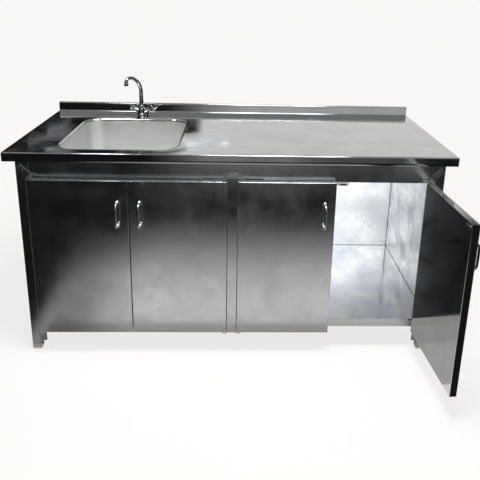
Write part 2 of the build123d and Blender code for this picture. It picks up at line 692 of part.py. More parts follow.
def pivot_pins():
    """Eight riveted pins: one above and one below each door."""
    pins = []
    for x in pivot_places():
        head = TOP_TONGUE + PLATE
        tip = DOOR_TOP - PIN_IN_DOOR
        upper = rod(PIN_RADIUS, (x, PIVOT_Y, tip), head - tip + WELD)
        pins.append(upper + rod(PIN_HEAD_RADIUS, (x, PIVOT_Y, head), PIN_HEAD_HEIGHT))
        head = BOTTOM_TONGUE - PIN_HEAD_HEIGHT
        tip = DOOR_BOTTOM + PIN_IN_DOOR
        lower = rod(PIN_RADIUS, (x, PIVOT_Y, head), tip - head)
        pins.append(lower + rod(PIN_HEAD_RADIUS, (x, PIVOT_Y, head), PIN_HEAD_HEIGHT))
    return group(pins)


def pivot_washers():
    """The washers that the doors turn on."""
    low = BOTTOM_TONGUE + PLATE
    bases = [(x, PIVOT_Y, low) for x in pivot_places()]
    return group([ring(WASHER_RADIUS, PIN_RADIUS, base, BOTTOM_PIVOT_GAP) for base in bases])


def centre_post():
    """The strip between the middle doors, flush with them and closed at the top."""
    half = CENTRE_POST_WIDTH / 2
    t = PANEL_SHEET
    low = DOOR_BOTTOM
    inside_top = CENTRE_POST_TOP - t
    post = block(-half, half, DOOR_FRONT, BODY_FRONT, low, CENTRE_POST_TOP)
    post = fillet(post.edges().filter_by(Axis.Z).group_by(Axis.Y)[0], DOOR_BEND)
    post -= block(-half + t, half - t, DOOR_FRONT + t, BODY_FRONT - t, low - OVERCUT, inside_top)
    slot = half - CENTRE_POST_RETURN
    slot_front = BODY_FRONT - t - OVERCUT
    return post - block(-slot, slot, slot_front, BODY_FRONT + OVERCUT, low - OVERCUT, inside_top)


# ---- doors -----------------------------------------------------------------------
def placed(number, shape):
    """A door's piece where it stands at rest: one door stands open."""
    if number != OPEN_DOOR:
        return shape
    return shape.rotate(Axis((POST_PIVOT_X, PIVOT_Y, 0), (0, 0, 1)), OPEN_ANGLE)


def pivot_x(number):
    hinge, way = DOORS[number]
    return hinge + way * PIVOT_FROM_SIDE


def free_edge(number):
    hinge, way = DOORS[number]
    return hinge + way * DOOR_WIDTH


def pin_bore(number):
    """The hole down a door for its two pins."""
    base = (pivot_x(number), PIVOT_Y, DOOR_BOTTOM - OVERCUT)
    return rod(PIN_RADIUS + PIN_CLEARANCE, base, DOOR_HEIGHT + LEAF_THICKNESS + 2 * OVERCUT)


def door_pan(number, y_show, y_seam):
    """One of a door's two folded pans, from the face that shows to the seam."""
    t = DOOR_SHEET
    x0, x1 = sorted((DOORS[number][0], free_edge(number)))
    pan = block(x0, x1, min(y_show, y_seam), max(y_show, y_seam), DOOR_BOTTOM, DOOR_TOP)
    show = pan.faces().sort_by(Axis.Y)[0 if y_show < y_seam else -1]
    pan = fillet(show.edges(), DOOR_BEND)
    inward = t if y_show < y_seam else -t
    return pan - block(x0 + t, x1 - t, y_show + inward, y_seam + inward, DOOR_BOTTOM + t, DOOR_TOP - t)


def door_skin(number):
    """The shallow front pan, with the holes for the pivot pins."""
    return placed(number, door_pan(number, DOOR_FRONT, DOOR_SEAM) - pin_bore(number))


def door_liner(number):
    """The deep back pan, seen from inside the unit, with a vent in its top."""
    hinge, way = DOORS[number]
    vent_base = (hinge + way * VENT_FROM_HINGE, DOOR_BACK - VENT_FROM_BACK, DOOR_TOP - 2 * DOOR_SHEET)
    liner = door_pan(number, DOOR_BACK, DOOR_SEAM) - rod(VENT_RADIUS, vent_base, 3 * DOOR_SHEET)
    return placed(number, liner)


def door_pivot_blocks(number):
    """The bored blocks in a door's hinged corners, and the leaf on its top."""
    hinge, way = DOORS[number]
    t = DOOR_SHEET
    near = hinge + way * t
    far = near + way * BLOCK_LENGTH
    front = DOOR_FRONT + t
    back = DOOR_BACK - t
    top = block(near, far, front, back, DOOR_TOP - t - BLOCK_HEIGHT, DOOR_TOP - t)
    low = block(near, far, front, back, DOOR_BOTTOM + t, DOOR_BOTTOM + t + BLOCK_HEIGHT)
    leaf = block(near, near + way * LEAF_LENGTH, front, back, DOOR_TOP, DOOR_TOP + LEAF_THICKNESS)
    return placed(number, group([piece - pin_bore(number) for piece in (top, low, leaf)]))


def door_handle(number):
    """A bow handle on two round feet."""
    x = free_edge(number) - DOORS[number][1] * HANDLE_FROM_MEETING
    middle = DOOR_TOP - HANDLE_BELOW_TOP
    low = middle - HANDLE_PITCH / 2
    high = middle + HANDLE_PITCH / 2
    out = DOOR_FRONT - HANDLE_STANDOFF
    corners = [(x, DOOR_FRONT, low), (x, out, low), (x, out, high), (x, DOOR_FRONT, high)]
    path = FilletPolyline(*corners, radius=HANDLE_BEND)
    bar = sweep(Plane(origin=path @ 0, z_dir=path % 0) * Circle(HANDLE_ROD_RADIUS), path)
    for z in (low, high):
        foot = (HANDLE_FOOT_RADIUS, (x, DOOR_FRONT, z), HANDLE_FOOT_HEIGHT, TO_FRONT)
        bar += rod(*foot, HANDLE_FOOT_TOP_RADIUS)
    return placed(number, bar)


def catch_x(number):
    return free_edge(number) - DOORS[number][1] * CATCH_FROM_MEETING


def door_strike(number):
    """The steel plate on the liner that the magnet pulls."""
    x = catch_x(number)
    half = STRIKE_LENGTH / 2
    low = STRIKE_Z - STRIKE_HEIGHT / 2
    plate = block(x - half, x + half, DOOR_BACK, DOOR_BACK + STRIKE_THICKNESS, low, low + STRIKE_HEIGHT)
    return placed(number, fillet(plate.edges().filter_by(Axis.Y), STRIKE_CORNER))


def catch_magnet(number, mouth=0.0):
    """The magnet in a catch, or its pocket where it is given a mouth."""
    x = catch_x(number)
    half = MAGNET_LENGTH / 2
    low = STRIKE_Z - MAGNET_HEIGHT / 2
    return block(
        x - half, x + half,
        CATCH_FRONT - mouth, CATCH_FRONT + MAGNET_DEPTH,
        low, low + MAGNET_HEIGHT,
    )


def catch_magnets():
    return group([catch_magnet(number) for number in DOORS])


def catch_bodies():
    """The moulded catches under the front rail, one behind each door's strike."""
    bodies = []
    for number in DOORS:
        x = catch_x(number)
        half = CATCH_LENGTH / 2
        low = FASCIA_BOTTOM - CATCH_HEIGHT
        body = block(x - half, x + half, CATCH_FRONT, CATCH_FRONT + CATCH_DEPTH, low, FASCIA_BOTTOM)
        body = chamfer(body.edges().filter_by(Axis.Y).group_by(Axis.Z)[0], CATCH_CORNER)
        bodies.append(body - catch_magnet(number, OVERCUT))
    return group(bodies)


# ---- waste -----------------------------------------------------------------------
def waste_body():
    """The waste's cup: a flange on the bowl's floor and a wall through its hole."""
    cup = rod(WASTE_CUP_RADIUS, (BOWL_X, BOWL_Y, CUP_BOTTOM), BASKET_SEAT - CUP_BOTTOM)
    flange_radius = WASTE_CUP_RADIUS + WASTE_FLANGE_WIDTH
    cup += rod(flange_radius, (BOWL_X, BOWL_Y, BOWL_FLOOR), WASTE_FLANGE)
    cup -= rod(CUP_INSIDE, (BOWL_X, BOWL_Y, CUP_BOTTOM + WASTE_WALL), BASKET_SEAT - CUP_BOTTOM)
    outlet_base = (BOWL_X, BOWL_Y, CUP_BOTTOM - OVERCUT)
    return cup - rod(WASTE_TAIL_RADIUS - WASTE_WALL, outlet_base, WASTE_WALL + 2 * OVERCUT)


def waste_gasket():
    base = (BOWL_X, BOWL_Y, BOWL_FLOOR - BOWL_WALL - WASTE_GASKET)
    return ring(NUT_INSIDE + WASTE_NUT_WIDTH, NUT_INSIDE, base, WASTE_GASKET)


def waste_nut():
    """The lugged nut that clamps the cup to the bowl."""
    low = BOWL_FLOOR - BOWL_WALL - WASTE_GASKET - WASTE_NUT_HEIGHT
    radius = NUT_INSIDE + WASTE_NUT_WIDTH
    nut = rod(radius, (BOWL_X, BOWL_Y, low), WASTE_NUT_HEIGHT)
    lug = Pos(radius, 0, WASTE_NUT_HEIGHT / 2) * Box(2 * WASTE_LUG, WASTE_LUG_WIDTH, WASTE_NUT_HEIGHT)
    for number in range(WASTE_LUGS):
        nut += Pos(BOWL_X, BOWL_Y, low) * Rot(0, 0, number * 360 / WASTE_LUGS) * lug
    return nut - rod(NUT_INSIDE, (BOWL_X, BOWL_Y, low - OVERCUT), WASTE_NUT_HEIGHT + 2 * OVERCUT)


def waste_tail():
    """The outlet pipe under the cup."""
    base = (BOWL_X, BOWL_Y, CUP_BOTTOM - WASTE_TAIL_LENGTH)
    return ring(WASTE_TAIL_RADIUS, WASTE_TAIL_RADIUS - WASTE_WALL, base, WASTE_TAIL_LENGTH)


def strainer_basket():
    """The perforated basket that lifts out of the waste."""
    height = BASKET_DEPTH + BASKET_RIM
    basket = rod(BASKET_RADIUS, (BOWL_X, BOWL_Y, BASKET_BOTTOM), height)
    basket = fillet(basket.edges().group_by(Axis.Z)[0], 3 * BASKET_WALL)
    basket += rod(WASTE_CUP_RADIUS + BASKET_RIM, (BOWL_X, BOWL_Y, BASKET_SEAT), BASKET_RIM)
    inside = BASKET_RADIUS - BASKET_WALL
    basket -= rod(inside, (BOWL_X, BOWL_Y, BASKET_BOTTOM + BASKET_WALL), height)
    for row in range(1, BASKET_ROWS + 1):
        away = inside * row / (BASKET_ROWS + 1)
        count = row * BASKET_FIRST_ROW_COUNT
        for number in range(count):
            turn = radians(360 * number / count)
            hole_base = (BOWL_X + away * cos(turn), BOWL_Y + away * sin(turn), BASKET_BOTTOM - OVERCUT)
            basket -= rod(BASKET_HOLE_RADIUS, hole_base, BASKET_WALL + 2 * OVERCUT)
    return basket


def basket_knob():
    """The knob that the basket is lifted by."""
    low = BASKET_BOTTOM + BASKET_WALL
    stem = rod(KNOB_STEM_RADIUS, (BOWL_X, BOWL_Y, low), KNOB_HEIGHT)
    head = rod(KNOB_RADIUS, (BOWL_X, BOWL_Y, low + KNOB_HEIGHT - KNOB_THICKNESS), KNOB_THICKNESS)
    return stem + fillet(head.edges(), KNOB_THICKNESS / 4)


# ---- tap -------------------------------------------------------------------------
def tap_seal():
    return ring(TAP_BASE_RADIUS, TAP_SHANK_RADIUS, (TAP_X, TAP_Y, WORKTOP_TOP), TAP_SEAL)


def branch_frame(side):
    """A plane on the tap's axis whose Z runs out along the left (-1) or right (1) branch."""
    slope = radians(TAP_BRANCH_SLOPE)
    out = (side * cos(slope), 0, sin(slope))
    return Plane(origin=(TAP_X, TAP_Y, TAP_FOOT + TAP_BRANCH_START), x_dir=(0, 1, 0), z_dir=out)


def tap_body():
    """The tap's casting: base, column, two sloping branches, spindles and the spout's spigot."""
    foot = (TAP_X, TAP_Y, TAP_FOOT)
    base = rod(TAP_BASE_RADIUS, foot, TAP_BASE_HEIGHT)
    base = fillet(base.edges().group_by(Axis.Z)[-1], TAP_EDGE)
    column = rod(TAP_COLUMN_FOOT_RADIUS, foot, TAP_COLUMN_TOP, top_radius=TAP_COLUMN_RADIUS)
    column = fillet(column.edges().group_by(Axis.Z)[-1], TAP_EDGE)
    body = base + column
    for side in (-1, 1):
        body += branch_frame(side) * rod(TAP_BRANCH_RADIUS, (0, 0, 0), TAP_BRANCH_LENGTH)
        body += branch_frame(side) * rod(SPINDLE_RADIUS, (0, 0, 0), TAP_BRANCH_LENGTH + SPINDLE_LENGTH)
    body += rod(SPOUT_SPIGOT_RADIUS, foot, TAP_COLUMN_TOP + SPOUT_SPIGOT_HEIGHT)
    body += rod(TAP_SHANK_RADIUS, (TAP_X, TAP_Y, SHANK_BOTTOM), TAP_SHANK_LENGTH + WELD)
    inside = TAP_INLET_SPREAD + TAP_INLET_RADIUS + TAP_INLET_CLEARANCE
    return body - rod(inside, (TAP_X, TAP_Y, SHANK_BOTTOM - OVERCUT), TAP_SHANK_LENGTH + OVERCUT)


def tap_nut():
    """The nut and washer under the worktop."""
    low = UNDERSIDE - TAP_WASHER - TAP_NUT_HEIGHT
    nut = Pos(TAP_X, TAP_Y, low) * extrude(RegularPolygon(TAP_NUT_RADIUS, 6), TAP_NUT_HEIGHT)
    nut += rod(TAP_WASHER_RADIUS, (TAP_X, TAP_Y, UNDERSIDE - TAP_WASHER), TAP_WASHER)
    hole_base = (TAP_X, TAP_Y, low - OVERCUT)
    return nut - rod(TAP_SHANK_RADIUS, hole_base, TAP_WASHER + TAP_NUT_HEIGHT + 2 * OVERCUT)


def tap_inlets():
    """The hot and cold inlet pipes with their threaded ends."""
    low = SHANK_BOTTOM - TAP_INLET_LENGTH
    pipes = []
    for side in (-1, 1):
        x = TAP_X + side * TAP_INLET_SPREAD
        pipe = rod(TAP_INLET_RADIUS, (x, TAP_Y, low), TAP_FOOT - low)
        pipes.append(pipe + rod(TAP_INLET_END_RADIUS, (x, TAP_Y, low), TAP_INLET_END_LENGTH))
    return group(pipes)


def spout_frame():
    """The upright plane that the spout bends in, swung round from -X towards the front."""
    swing = radians(SPOUT_SWIVEL)
    return Plane(
        origin=(TAP_X, TAP_Y, SPOUT_FOOT),
        x_dir=(-cos(swing), -sin(swing), 0),
        z_dir=(-sin(swing), cos(swing), 0),
    )


def spout():
    """A swan neck: a straight rise, a wide sweep, a tight crown, tapering all the way."""
    top = SPOUT_RISE + SPOUT_SWEEP_RADIUS
    rise = Line((0, SPOUT_COLLAR_HEIGHT), (0, SPOUT_RISE))
    sweep_arc = RadiusArc((0, SPOUT_RISE), (SPOUT_SWEEP_RADIUS, top), SPOUT_SWEEP_RADIUS)
    crown_end = (SPOUT_REACH, top - SPOUT_CROWN_RADIUS)
    crown_arc = RadiusArc((SPOUT_SWEEP_RADIUS, top), crown_end, SPOUT_CROWN_RADIUS)
    path = spout_frame() * Wire([rise, sweep_arc, crown_arc])
    start = Plane(origin=path @ 0, z_dir=path % 0) * Circle(SPOUT_FOOT_RADIUS)
    finish = Plane(origin=path @ 1, z_dir=path % 1) * Circle(SPOUT_TIP_RADIUS)
    neck = sweep([start, finish], path, multisection=True)
    foot = (TAP_X, TAP_Y, SPOUT_FOOT)
    collar = rod(SPOUT_COLLAR_RADIUS, foot, SPOUT_COLLAR_HEIGHT)
    collar = fillet(collar.edges().group_by(Axis.Z)[-1], SPOUT_COLLAR_EDGE)
    bore_base = (TAP_X, TAP_Y, SPOUT_FOOT - OVERCUT)
    return collar + neck - rod(SPOUT_SPIGOT_RADIUS + BORE_CLEARANCE, bore_base, SPOUT_SPIGOT_HEIGHT + OVERCUT)


def aerator():
    """The outlet's screw-on nozzle."""
    out = spout_frame().x_dir * SPOUT_REACH
    x = TAP_X + out.X
    y = TAP_Y + out.Y
    low = SPOUT_END - AERATOR_HEIGHT
    nozzle = rod(AERATOR_RADIUS, (x, y, low), AERATOR_HEIGHT)
    nozzle = fillet(nozzle.edges(), AERATOR_EDGE)
    return nozzle - rod(AERATOR_BORE, (x, y, low - OVERCUT), AERATOR_BORE_DEPTH + OVERCUT)


def tap_grip(side):
    """The fluted grip on the left (-1) or right (1) spindle."""
    neck = rod(GRIP_NECK_RADIUS, (0, 0, 0), GRIP_NECK + WELD)
    head = rod(GRIP_BACK_RADIUS, (0, 0, GRIP_NECK), GRIP_LENGTH - GRIP_NECK, top_radius=GRIP_RADIUS)
    head = fillet(head.edges(), GRIP_EDGE)
    away = GRIP_RADIUS + GRIP_FLUTE_RADIUS - GRIP_FLUTE_DEPTH
    for number in range(GRIP_FLUTES):
        turn = radians(360 * number / GRIP_FLUTES)
        flute_base = (away * cos(turn), away * sin(turn), 0)
        head -= rod(GRIP_FLUTE_RADIUS, flute_base, GRIP_LENGTH + OVERCUT)
    bore = rod(SPINDLE_RADIUS + BORE_CLEARANCE, (0, 0, -OVERCUT), SPINDLE_LENGTH + OVERCUT)
    return branch_frame(side) * Pos(0, 0, TAP_BRANCH_LENGTH + RUNNING_GAP) * (neck + head - bore)


# ---- the files -------------------------------------------------------------------
def frame_pieces():
    """The worktop, the bowl and all that stands still under them."""
    left_front_post = angle_post(True)
    left_rear_post = angle_post(False)
    left_panel = side_panel()
    return {
        "worktop": worktop(),
        "sink_bowl": sink_bowl(),
        "worktop_stiffeners": worktop_stiffeners(),
        "front_left_post": left_front_post,
        "front_right_post": mirrored(left_front_post),
        "rear_left_post": left_rear_post,
        "rear_right_post": mirrored(left_rear_post),
        "front_rail": front_rail(),
        "rear_rail": rear_rail(),
        "side_rails": both_sides(side_rail()),
        "left_side_panel": left_panel,
        "right_side_panel": mirrored(left_panel),
        "back_panel": back_panel(),
        "bottom_shelf": bottom_shelf(),
        "shelf_stiffener": shelf_stiffener(),
        "centre_post": centre_post(),
        "centre_pivot_plates": centre_pivot_plates(),
        "post_pivot_brackets": post_pivot_brackets(),
        "pivot_pins": pivot_pins(),
        "pivot_washers": pivot_washers(),
        "fixing_screws": fixing_screws(),
        "frame_bolts": frame_bolts(),
        "catch_bodies": catch_bodies(),
        "catch_magnets": catch_magnets(),
    }


def door_pieces(number):
    """The five nodes of one door."""
    return {
        f"door_{number}_skin": door_skin(number),
        f"door_{number}_liner": door_liner(number),
        f"door_{number}_pivot_blocks": door_pivot_blocks(number),
        f"door_{number}_handle": door_handle(number),
        f"door_{number}_strike": door_strike(number),
    }


def water_pieces():
    """The waste under the bowl and the tap behind it."""
    return {
        "waste_body": waste_body(),
        "waste_gasket": waste_gasket(),
        "waste_nut": waste_nut(),
        "waste_tail": waste_tail(),
        "strainer_basket": strainer_basket(),
        "basket_knob": basket_knob(),
        "tap_seal": tap_seal(),
        "tap_body": tap_body(),
        "tap_nut": tap_nut(),
        "tap_inlets": tap_inlets(),
        "spout": spout(),
        "aerator": aerator(),
        "hot_grip": tap_grip(-1),
        "cold_grip": tap_grip(1),
    }


os.makedirs("parts", exist_ok=True)
pieces = frame_pieces() | water_pieces()
for door_number in DOORS:
    pieces |= door_pieces(door_number)
for node_name, piece in pieces.items():
    save(node_name, piece)
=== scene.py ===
import json
import math

import bmesh
import bpy
from mathutils import Matrix, Vector


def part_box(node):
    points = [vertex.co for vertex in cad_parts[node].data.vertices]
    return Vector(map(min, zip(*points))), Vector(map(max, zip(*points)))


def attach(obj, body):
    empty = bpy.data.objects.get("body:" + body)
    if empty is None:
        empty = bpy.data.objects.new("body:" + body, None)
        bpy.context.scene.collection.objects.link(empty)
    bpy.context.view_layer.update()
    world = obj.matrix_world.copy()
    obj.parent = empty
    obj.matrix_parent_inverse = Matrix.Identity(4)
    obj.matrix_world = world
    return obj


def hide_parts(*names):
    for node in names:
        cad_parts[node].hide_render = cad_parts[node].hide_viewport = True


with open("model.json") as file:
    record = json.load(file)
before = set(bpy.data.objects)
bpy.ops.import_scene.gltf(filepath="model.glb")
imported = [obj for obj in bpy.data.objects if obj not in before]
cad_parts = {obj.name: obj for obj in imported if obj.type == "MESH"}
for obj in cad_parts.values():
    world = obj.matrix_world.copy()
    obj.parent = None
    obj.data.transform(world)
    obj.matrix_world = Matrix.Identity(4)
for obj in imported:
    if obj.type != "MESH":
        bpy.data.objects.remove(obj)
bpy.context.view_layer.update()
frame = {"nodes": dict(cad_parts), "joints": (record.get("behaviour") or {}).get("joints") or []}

bl_info = {
    "name": "Kitchen Sink Unit",
    "version": (1, 0, 0),
    "blender": (4, 5, 0),
    "location": "3D View > Sidebar > Sink Unit",
    "description": "Dresses a stainless-steel sink unit in sheet steel, chrome and plastic",
    "category": "Object",
}


# ---- places, in metres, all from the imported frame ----
def middle(low, high):
    return (low + high) / 2


MM = 0.001
NODES = frame["nodes"]
JOINTS = {joint["name"]: joint for joint in frame["joints"]}
WORKTOP_LOW, WORKTOP_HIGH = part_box("worktop")
BOWL_LOW, BOWL_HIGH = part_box("sink_bowl")
BASKET_LOW, BASKET_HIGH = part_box("strainer_basket")
FRONT = WORKTOP_LOW.y
SIDE = WORKTOP_HIGH.x
TOP = BOWL_HIGH.z
BOWL = middle(BOWL_LOW, BOWL_HIGH)
BOWL.z = TOP
TAP = middle(*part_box("tap_seal"))
TAP.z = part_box("tap_seal")[1].z
DOORS = (1, 2, 3, 4)


# ---- what a user would change ----
def number(name, about, default, **limits):
    return bpy.props.FloatProperty(name=name, description=about, default=default, **limits)


def length(name, about, default):
    return number(name, about, default, min=0.0, precision=5, subtype="DISTANCE", unit="LENGTH")


def share(name, about, default):
    return number(name, about, default, min=0.0, max=1.0, subtype="FACTOR")


def power(name, about, watts):
    return number(name, about, watts, min=0.0)


def angle(name, about, degrees):
    return number(name, about, math.radians(degrees), subtype="ANGLE", unit="ROTATION")


def colour(name, about, default):
    return bpy.props.FloatVectorProperty(
        name=name, description=about, default=default, size=3, min=0.0, max=1.0, subtype="COLOR",
    )


class SinkUnitFinishes(bpy.types.PropertyGroup):
    worktop_tint: colour("Worktop", "Steel of the worktop", (0.48, 0.49, 0.50))
    worktop_gloss: share("Worktop roughness", "Roughness of the worktop's grain", 0.09)
    bowl_tint: colour("Bowl", "Steel of the pressed bowl", (0.63, 0.64, 0.63))
    bowl_gloss: share("Bowl roughness", "Roughness of the pressed bowl", 0.46)
    door_tint: colour("Doors", "Steel of the doors' outer skins", (0.50, 0.51, 0.52))
    door_gloss: share("Door roughness", "Roughness of the doors' outer skins", 0.20)
    liner_tint: colour("Door liners", "Steel of the doors' inner faces", (0.60, 0.61, 0.62))
    liner_gloss: share("Liner roughness", "Roughness of the doors' inner faces", 0.10)
    frame_tint: colour("Frame", "Steel of the posts and the rails", (0.52, 0.53, 0.54))
    frame_gloss: share("Frame roughness", "Roughness of the posts and the rails", 0.20)
    cabinet_tint: colour("Inside", "Steel of the sheets round the inside", (0.80, 0.80, 0.79))
    cabinet_gloss: share("Inside roughness", "Roughness of the sheets round the inside", 0.30)
    plated_tint: colour("Plated steel", "Brackets, screws and bolts", (0.46, 0.47, 0.47))
    chrome_tint: colour("Chrome", "The waste and the handles", (0.52, 0.53, 0.54))
    # The tap's chrome is darker than the other chrome: painted shade, so the tap shows as dark as
    # the dark room it mirrors.
    tap_shaded_tint: colour("Tap chrome", "The tap's body, spout and grips", (0.28, 0.285, 0.29))
    brass_tint: colour("Brass", "The tap's nut and its inlets", (0.62, 0.44, 0.20))
    plastic_tint: colour("White plastic", "The catches and the waste's outlet", (0.86, 0.86, 0.84))


class SinkUnitSizes(bpy.types.PropertyGroup):
    sheet: length("Worktop sheet", "Thickness of the worktop's sheet", 2 * MM)
    bend: length("Edge bend", "Radius of the worktop's folded edges", 3 * MM)
    edge_return: length("Edge return", "Width of the return under the worktop's edge", 12 * MM)
    upstand: length("Upstand thickness", "Front to back over the folded upstand", 20 * MM)
    dish_depth: length("Dish depth", "How far pressing has drawn the worktop down", 2.0 * MM)
    dish_reach: length("Dish reach", "How far from the bowl it is drawn down", 62 * MM)
    bowl_wall: length("Bowl wall", "Thickness of the bowl's sheet", 1.5 * MM)
    bowl_corner: length("Bowl corner", "Radius of the bowl's corners in plan", 75 * MM)
    rim_radius: length("Rim radius", "Radius that the bowl's rim is rolled to", 8 * MM)
    rim_flat: length("Rim flat", "Flat flange outside the rolled rim", 10 * MM)
    floor_radius: length("Floor radius", "Radius between the bowl's walls and floor", 35 * MM)
    draft: angle("Bowl draft", "Slope of the bowl's walls", 5)
    recess_width: length("Recess width", "Width of a screw's cross recess", 0.9 * MM)
    recess_depth: length("Recess depth", "Depth of a screw's cross recess", 1.1 * MM)
    flute_radius: length("Flute radius", "Radius of the hollows round a tap grip", 3.2 * MM)
    flutes: bpy.props.IntProperty(
        name="Flutes", description="Hollows round a tap grip", default=8, min=3,
    )
    perforation: length("Perforation", "Radius of the strainer basket's holes", 2.4 * MM)


class SinkUnitStudio(bpy.types.PropertyGroup):
    camera_place: bpy.props.FloatVectorProperty(
        name="Camera", description="Where the camera stands", size=3,
        default=(0.012, -2.215157, 1.552), subtype="TRANSLATION", unit="LENGTH",
    )
    camera_yaw: angle("Camera yaw", "Turn of the camera to the right of +Y", 1.97)
    camera_pitch: angle("Camera pitch", "How far the camera looks down", 15.53)
    camera_roll: angle("Camera roll", "Tilt of the camera about its view", -1.31)
    camera_lens: number("Lens", "Focal length on a 36 mm sensor, in mm", 40.845, min=1.0)
    camera_shift: bpy.props.FloatVectorProperty(
        name="Shift", description="Shift of the picture, in picture widths", size=2,
        default=(-0.0306, -0.22),
    )
    backdrop: colour("Backdrop", "Colour of the floor and the backdrop", (0.947, 0.930, 0.913))
    surroundings: share("Surroundings", "Strength of the even light from all round", 0.45)
    top_light: power("Top light", "Watts of the soft box overhead", 90.0)
    inside_light: power("Inside light", "Watts of the soft box that lights the open unit", 2.5)
    bowl_light: power("Bowl light", "Watts of the soft box over the bowl", 1.4)


def finishes():
    return bpy.context.scene.sink_unit_finishes


def sizes():
    return bpy.context.scene.sink_unit_sizes


def studio():
    return bpy.context.scene.sink_unit_studio


# ---- nodes ----
class Nodes:
    """Adds nodes to a tree, with their settings, and sets or links their sockets."""

    def __init__(self, tree):
        self.tree = tree

    def add(self, kind, settings=None, **sockets):
        """A new node; a socket's words are joined by underscores."""
        node = self.tree.nodes.new(kind)
        for key, value in (settings or {}).items():
            setattr(node, key, value)
        for label, value in sockets.items():
            self.feed(node.inputs[label.replace("_", " ")], value)
        return node

    def feed(self, socket, value):
        if isinstance(value, bpy.types.NodeSocket):
            self.tree.links.new(value, socket)
        else:
            socket.default_value = value

    def maths(self, operation, *values, **settings):
        node = self.add("ShaderNodeMath", {"operation": operation, **settings})
        for socket, value in zip(node.inputs, values):
            self.feed(socket, value)
        return node.outputs["Value"]

    def times(self, first, second):
        return self.maths("MULTIPLY", first, second)

    def plus(self, first, second):
        return self.maths("ADD", first, second)

    def between(self, factor, first, second):
        """The first shader where the factor is 0, the second where it is 1."""
        mix = self.add("ShaderNodeMixShader", Fac=factor)
        self.feed(mix.inputs[1], first)
        self.feed(mix.inputs[2], second)
        return mix.outputs["Shader"]


# ---- materials ----
class Finish(Nodes):
    """One material, whose nodes are added from the pattern towards the shader."""

    def __init__(self, name, tint, roughness, metallic=1.0):
        self.material = bpy.data.materials.new(name)
        self.material.use_nodes = True
        super().__init__(self.material.node_tree)
        self.shader = self.tree.nodes["Principled BSDF"]
        self.feed(self.shader.inputs["Base Color"], (*tint, 1.0))
        self.feed(self.shader.inputs["Metallic"], metallic)
        self.feed(self.shader.inputs["Roughness"], roughness)
        self.tint = tint
        self.roughness = roughness
        self.place = self.add("ShaderNodeTexCoord").outputs["Object"]
        self.normal = None

    def noise(self, waves, detail=2.0, seed=0.0, distortion=0.0):
        """Noise with this many waves a metre, all round or along X, Y and Z."""
        stretch = waves if isinstance(waves, tuple) else (waves, waves, waves)
        shift = (seed, seed / 2, -seed)
        mapping = self.add("ShaderNodeMapping", Vector=self.place, Scale=stretch, Location=shift)
        return self.add(
            "ShaderNodeTexNoise", Vector=mapping.outputs["Vector"], Scale=1.0, Detail=detail,
            Distortion=distortion,
        ).outputs["Fac"]

    def spread(self, pattern, low, high, start=0.3, end=0.7):
        """The pattern from start to end, laid out from low to high."""
        return self.add(
            "ShaderNodeMapRange", Value=pattern, From_Min=start, From_Max=end, To_Min=low,
            To_Max=high,
        ).outputs["Result"]

    def along(self, axis):
        """Where a point of the surface is along X, Y or Z."""
        return self.add("ShaderNodeSeparateXYZ", Vector=self.place).outputs[axis]

    def near(self, axis, place, width):
        """1 within this width of a place on the axis, 0 elsewhere; X counts both ways."""
        where = self.along(axis)
        if axis == "X":
            where = self.maths("ABSOLUTE", where)
        return self.maths("COMPARE", where, place, width)

    def vary_roughness(self, *patterns):
        """Roughness that strays from the finish's own by the sum of these patterns."""
        total = patterns[0]
        for pattern in patterns[1:]:
            total = self.plus(total, pattern)
        rough = self.maths("ADD", total, self.roughness, use_clamp=True)
        self.feed(self.shader.inputs["Roughness"], rough)

    def stain(self, pattern, other):
        """Lays another colour over the tint where the pattern is 1."""
        socket = self.shader.inputs["Base Color"]
        before = socket.links[0].from_socket if socket.links else (*self.tint, 1.0)
        mix = self.add(
            "ShaderNodeMix", {"data_type": "RGBA"}, A=before, B=(*other, 1.0), Factor=pattern,
        )
        self.feed(socket, mix.outputs["Result"])

    def wear(self, pattern, factor, start=0.3, end=0.7):
        """Darkens the tint where the pattern is high."""
        self.stain(self.spread(pattern, 0.0, 1.0, start, end), darker(self.tint, factor))

    def emboss(self, pattern, height):
        """A relief of this height, in metres, on top of those before it."""
        bump = self.add("ShaderNodeBump", Height=pattern, Distance=height, Strength=1.0)
        if self.normal:
            self.feed(bump.inputs["Normal"], self.normal)
        self.normal = bump.outputs["Normal"]
        self.feed(self.shader.inputs["Normal"], self.normal)


def darker(tint, factor):
    return tuple(channel * factor for channel in tint)


FACE_DEPTH = 0.7 * MM
JOINT_WIDTH = 2.2 * MM
JOINT_TINT = (0.10, 0.10, 0.10)
FILM_TINT = (0.58, 0.61, 0.65)
FILM_ROUGHNESS = 0.06
GRAIN_ROUGHNESS = 0.015
GRAIN_RELIEF = 0.0015 * MM
WAVE_RELIEF = 4 * MM
GRAIN_X = (6.0, 900.0, 900.0)
GRAIN_Z = (900.0, 900.0, 6.0)


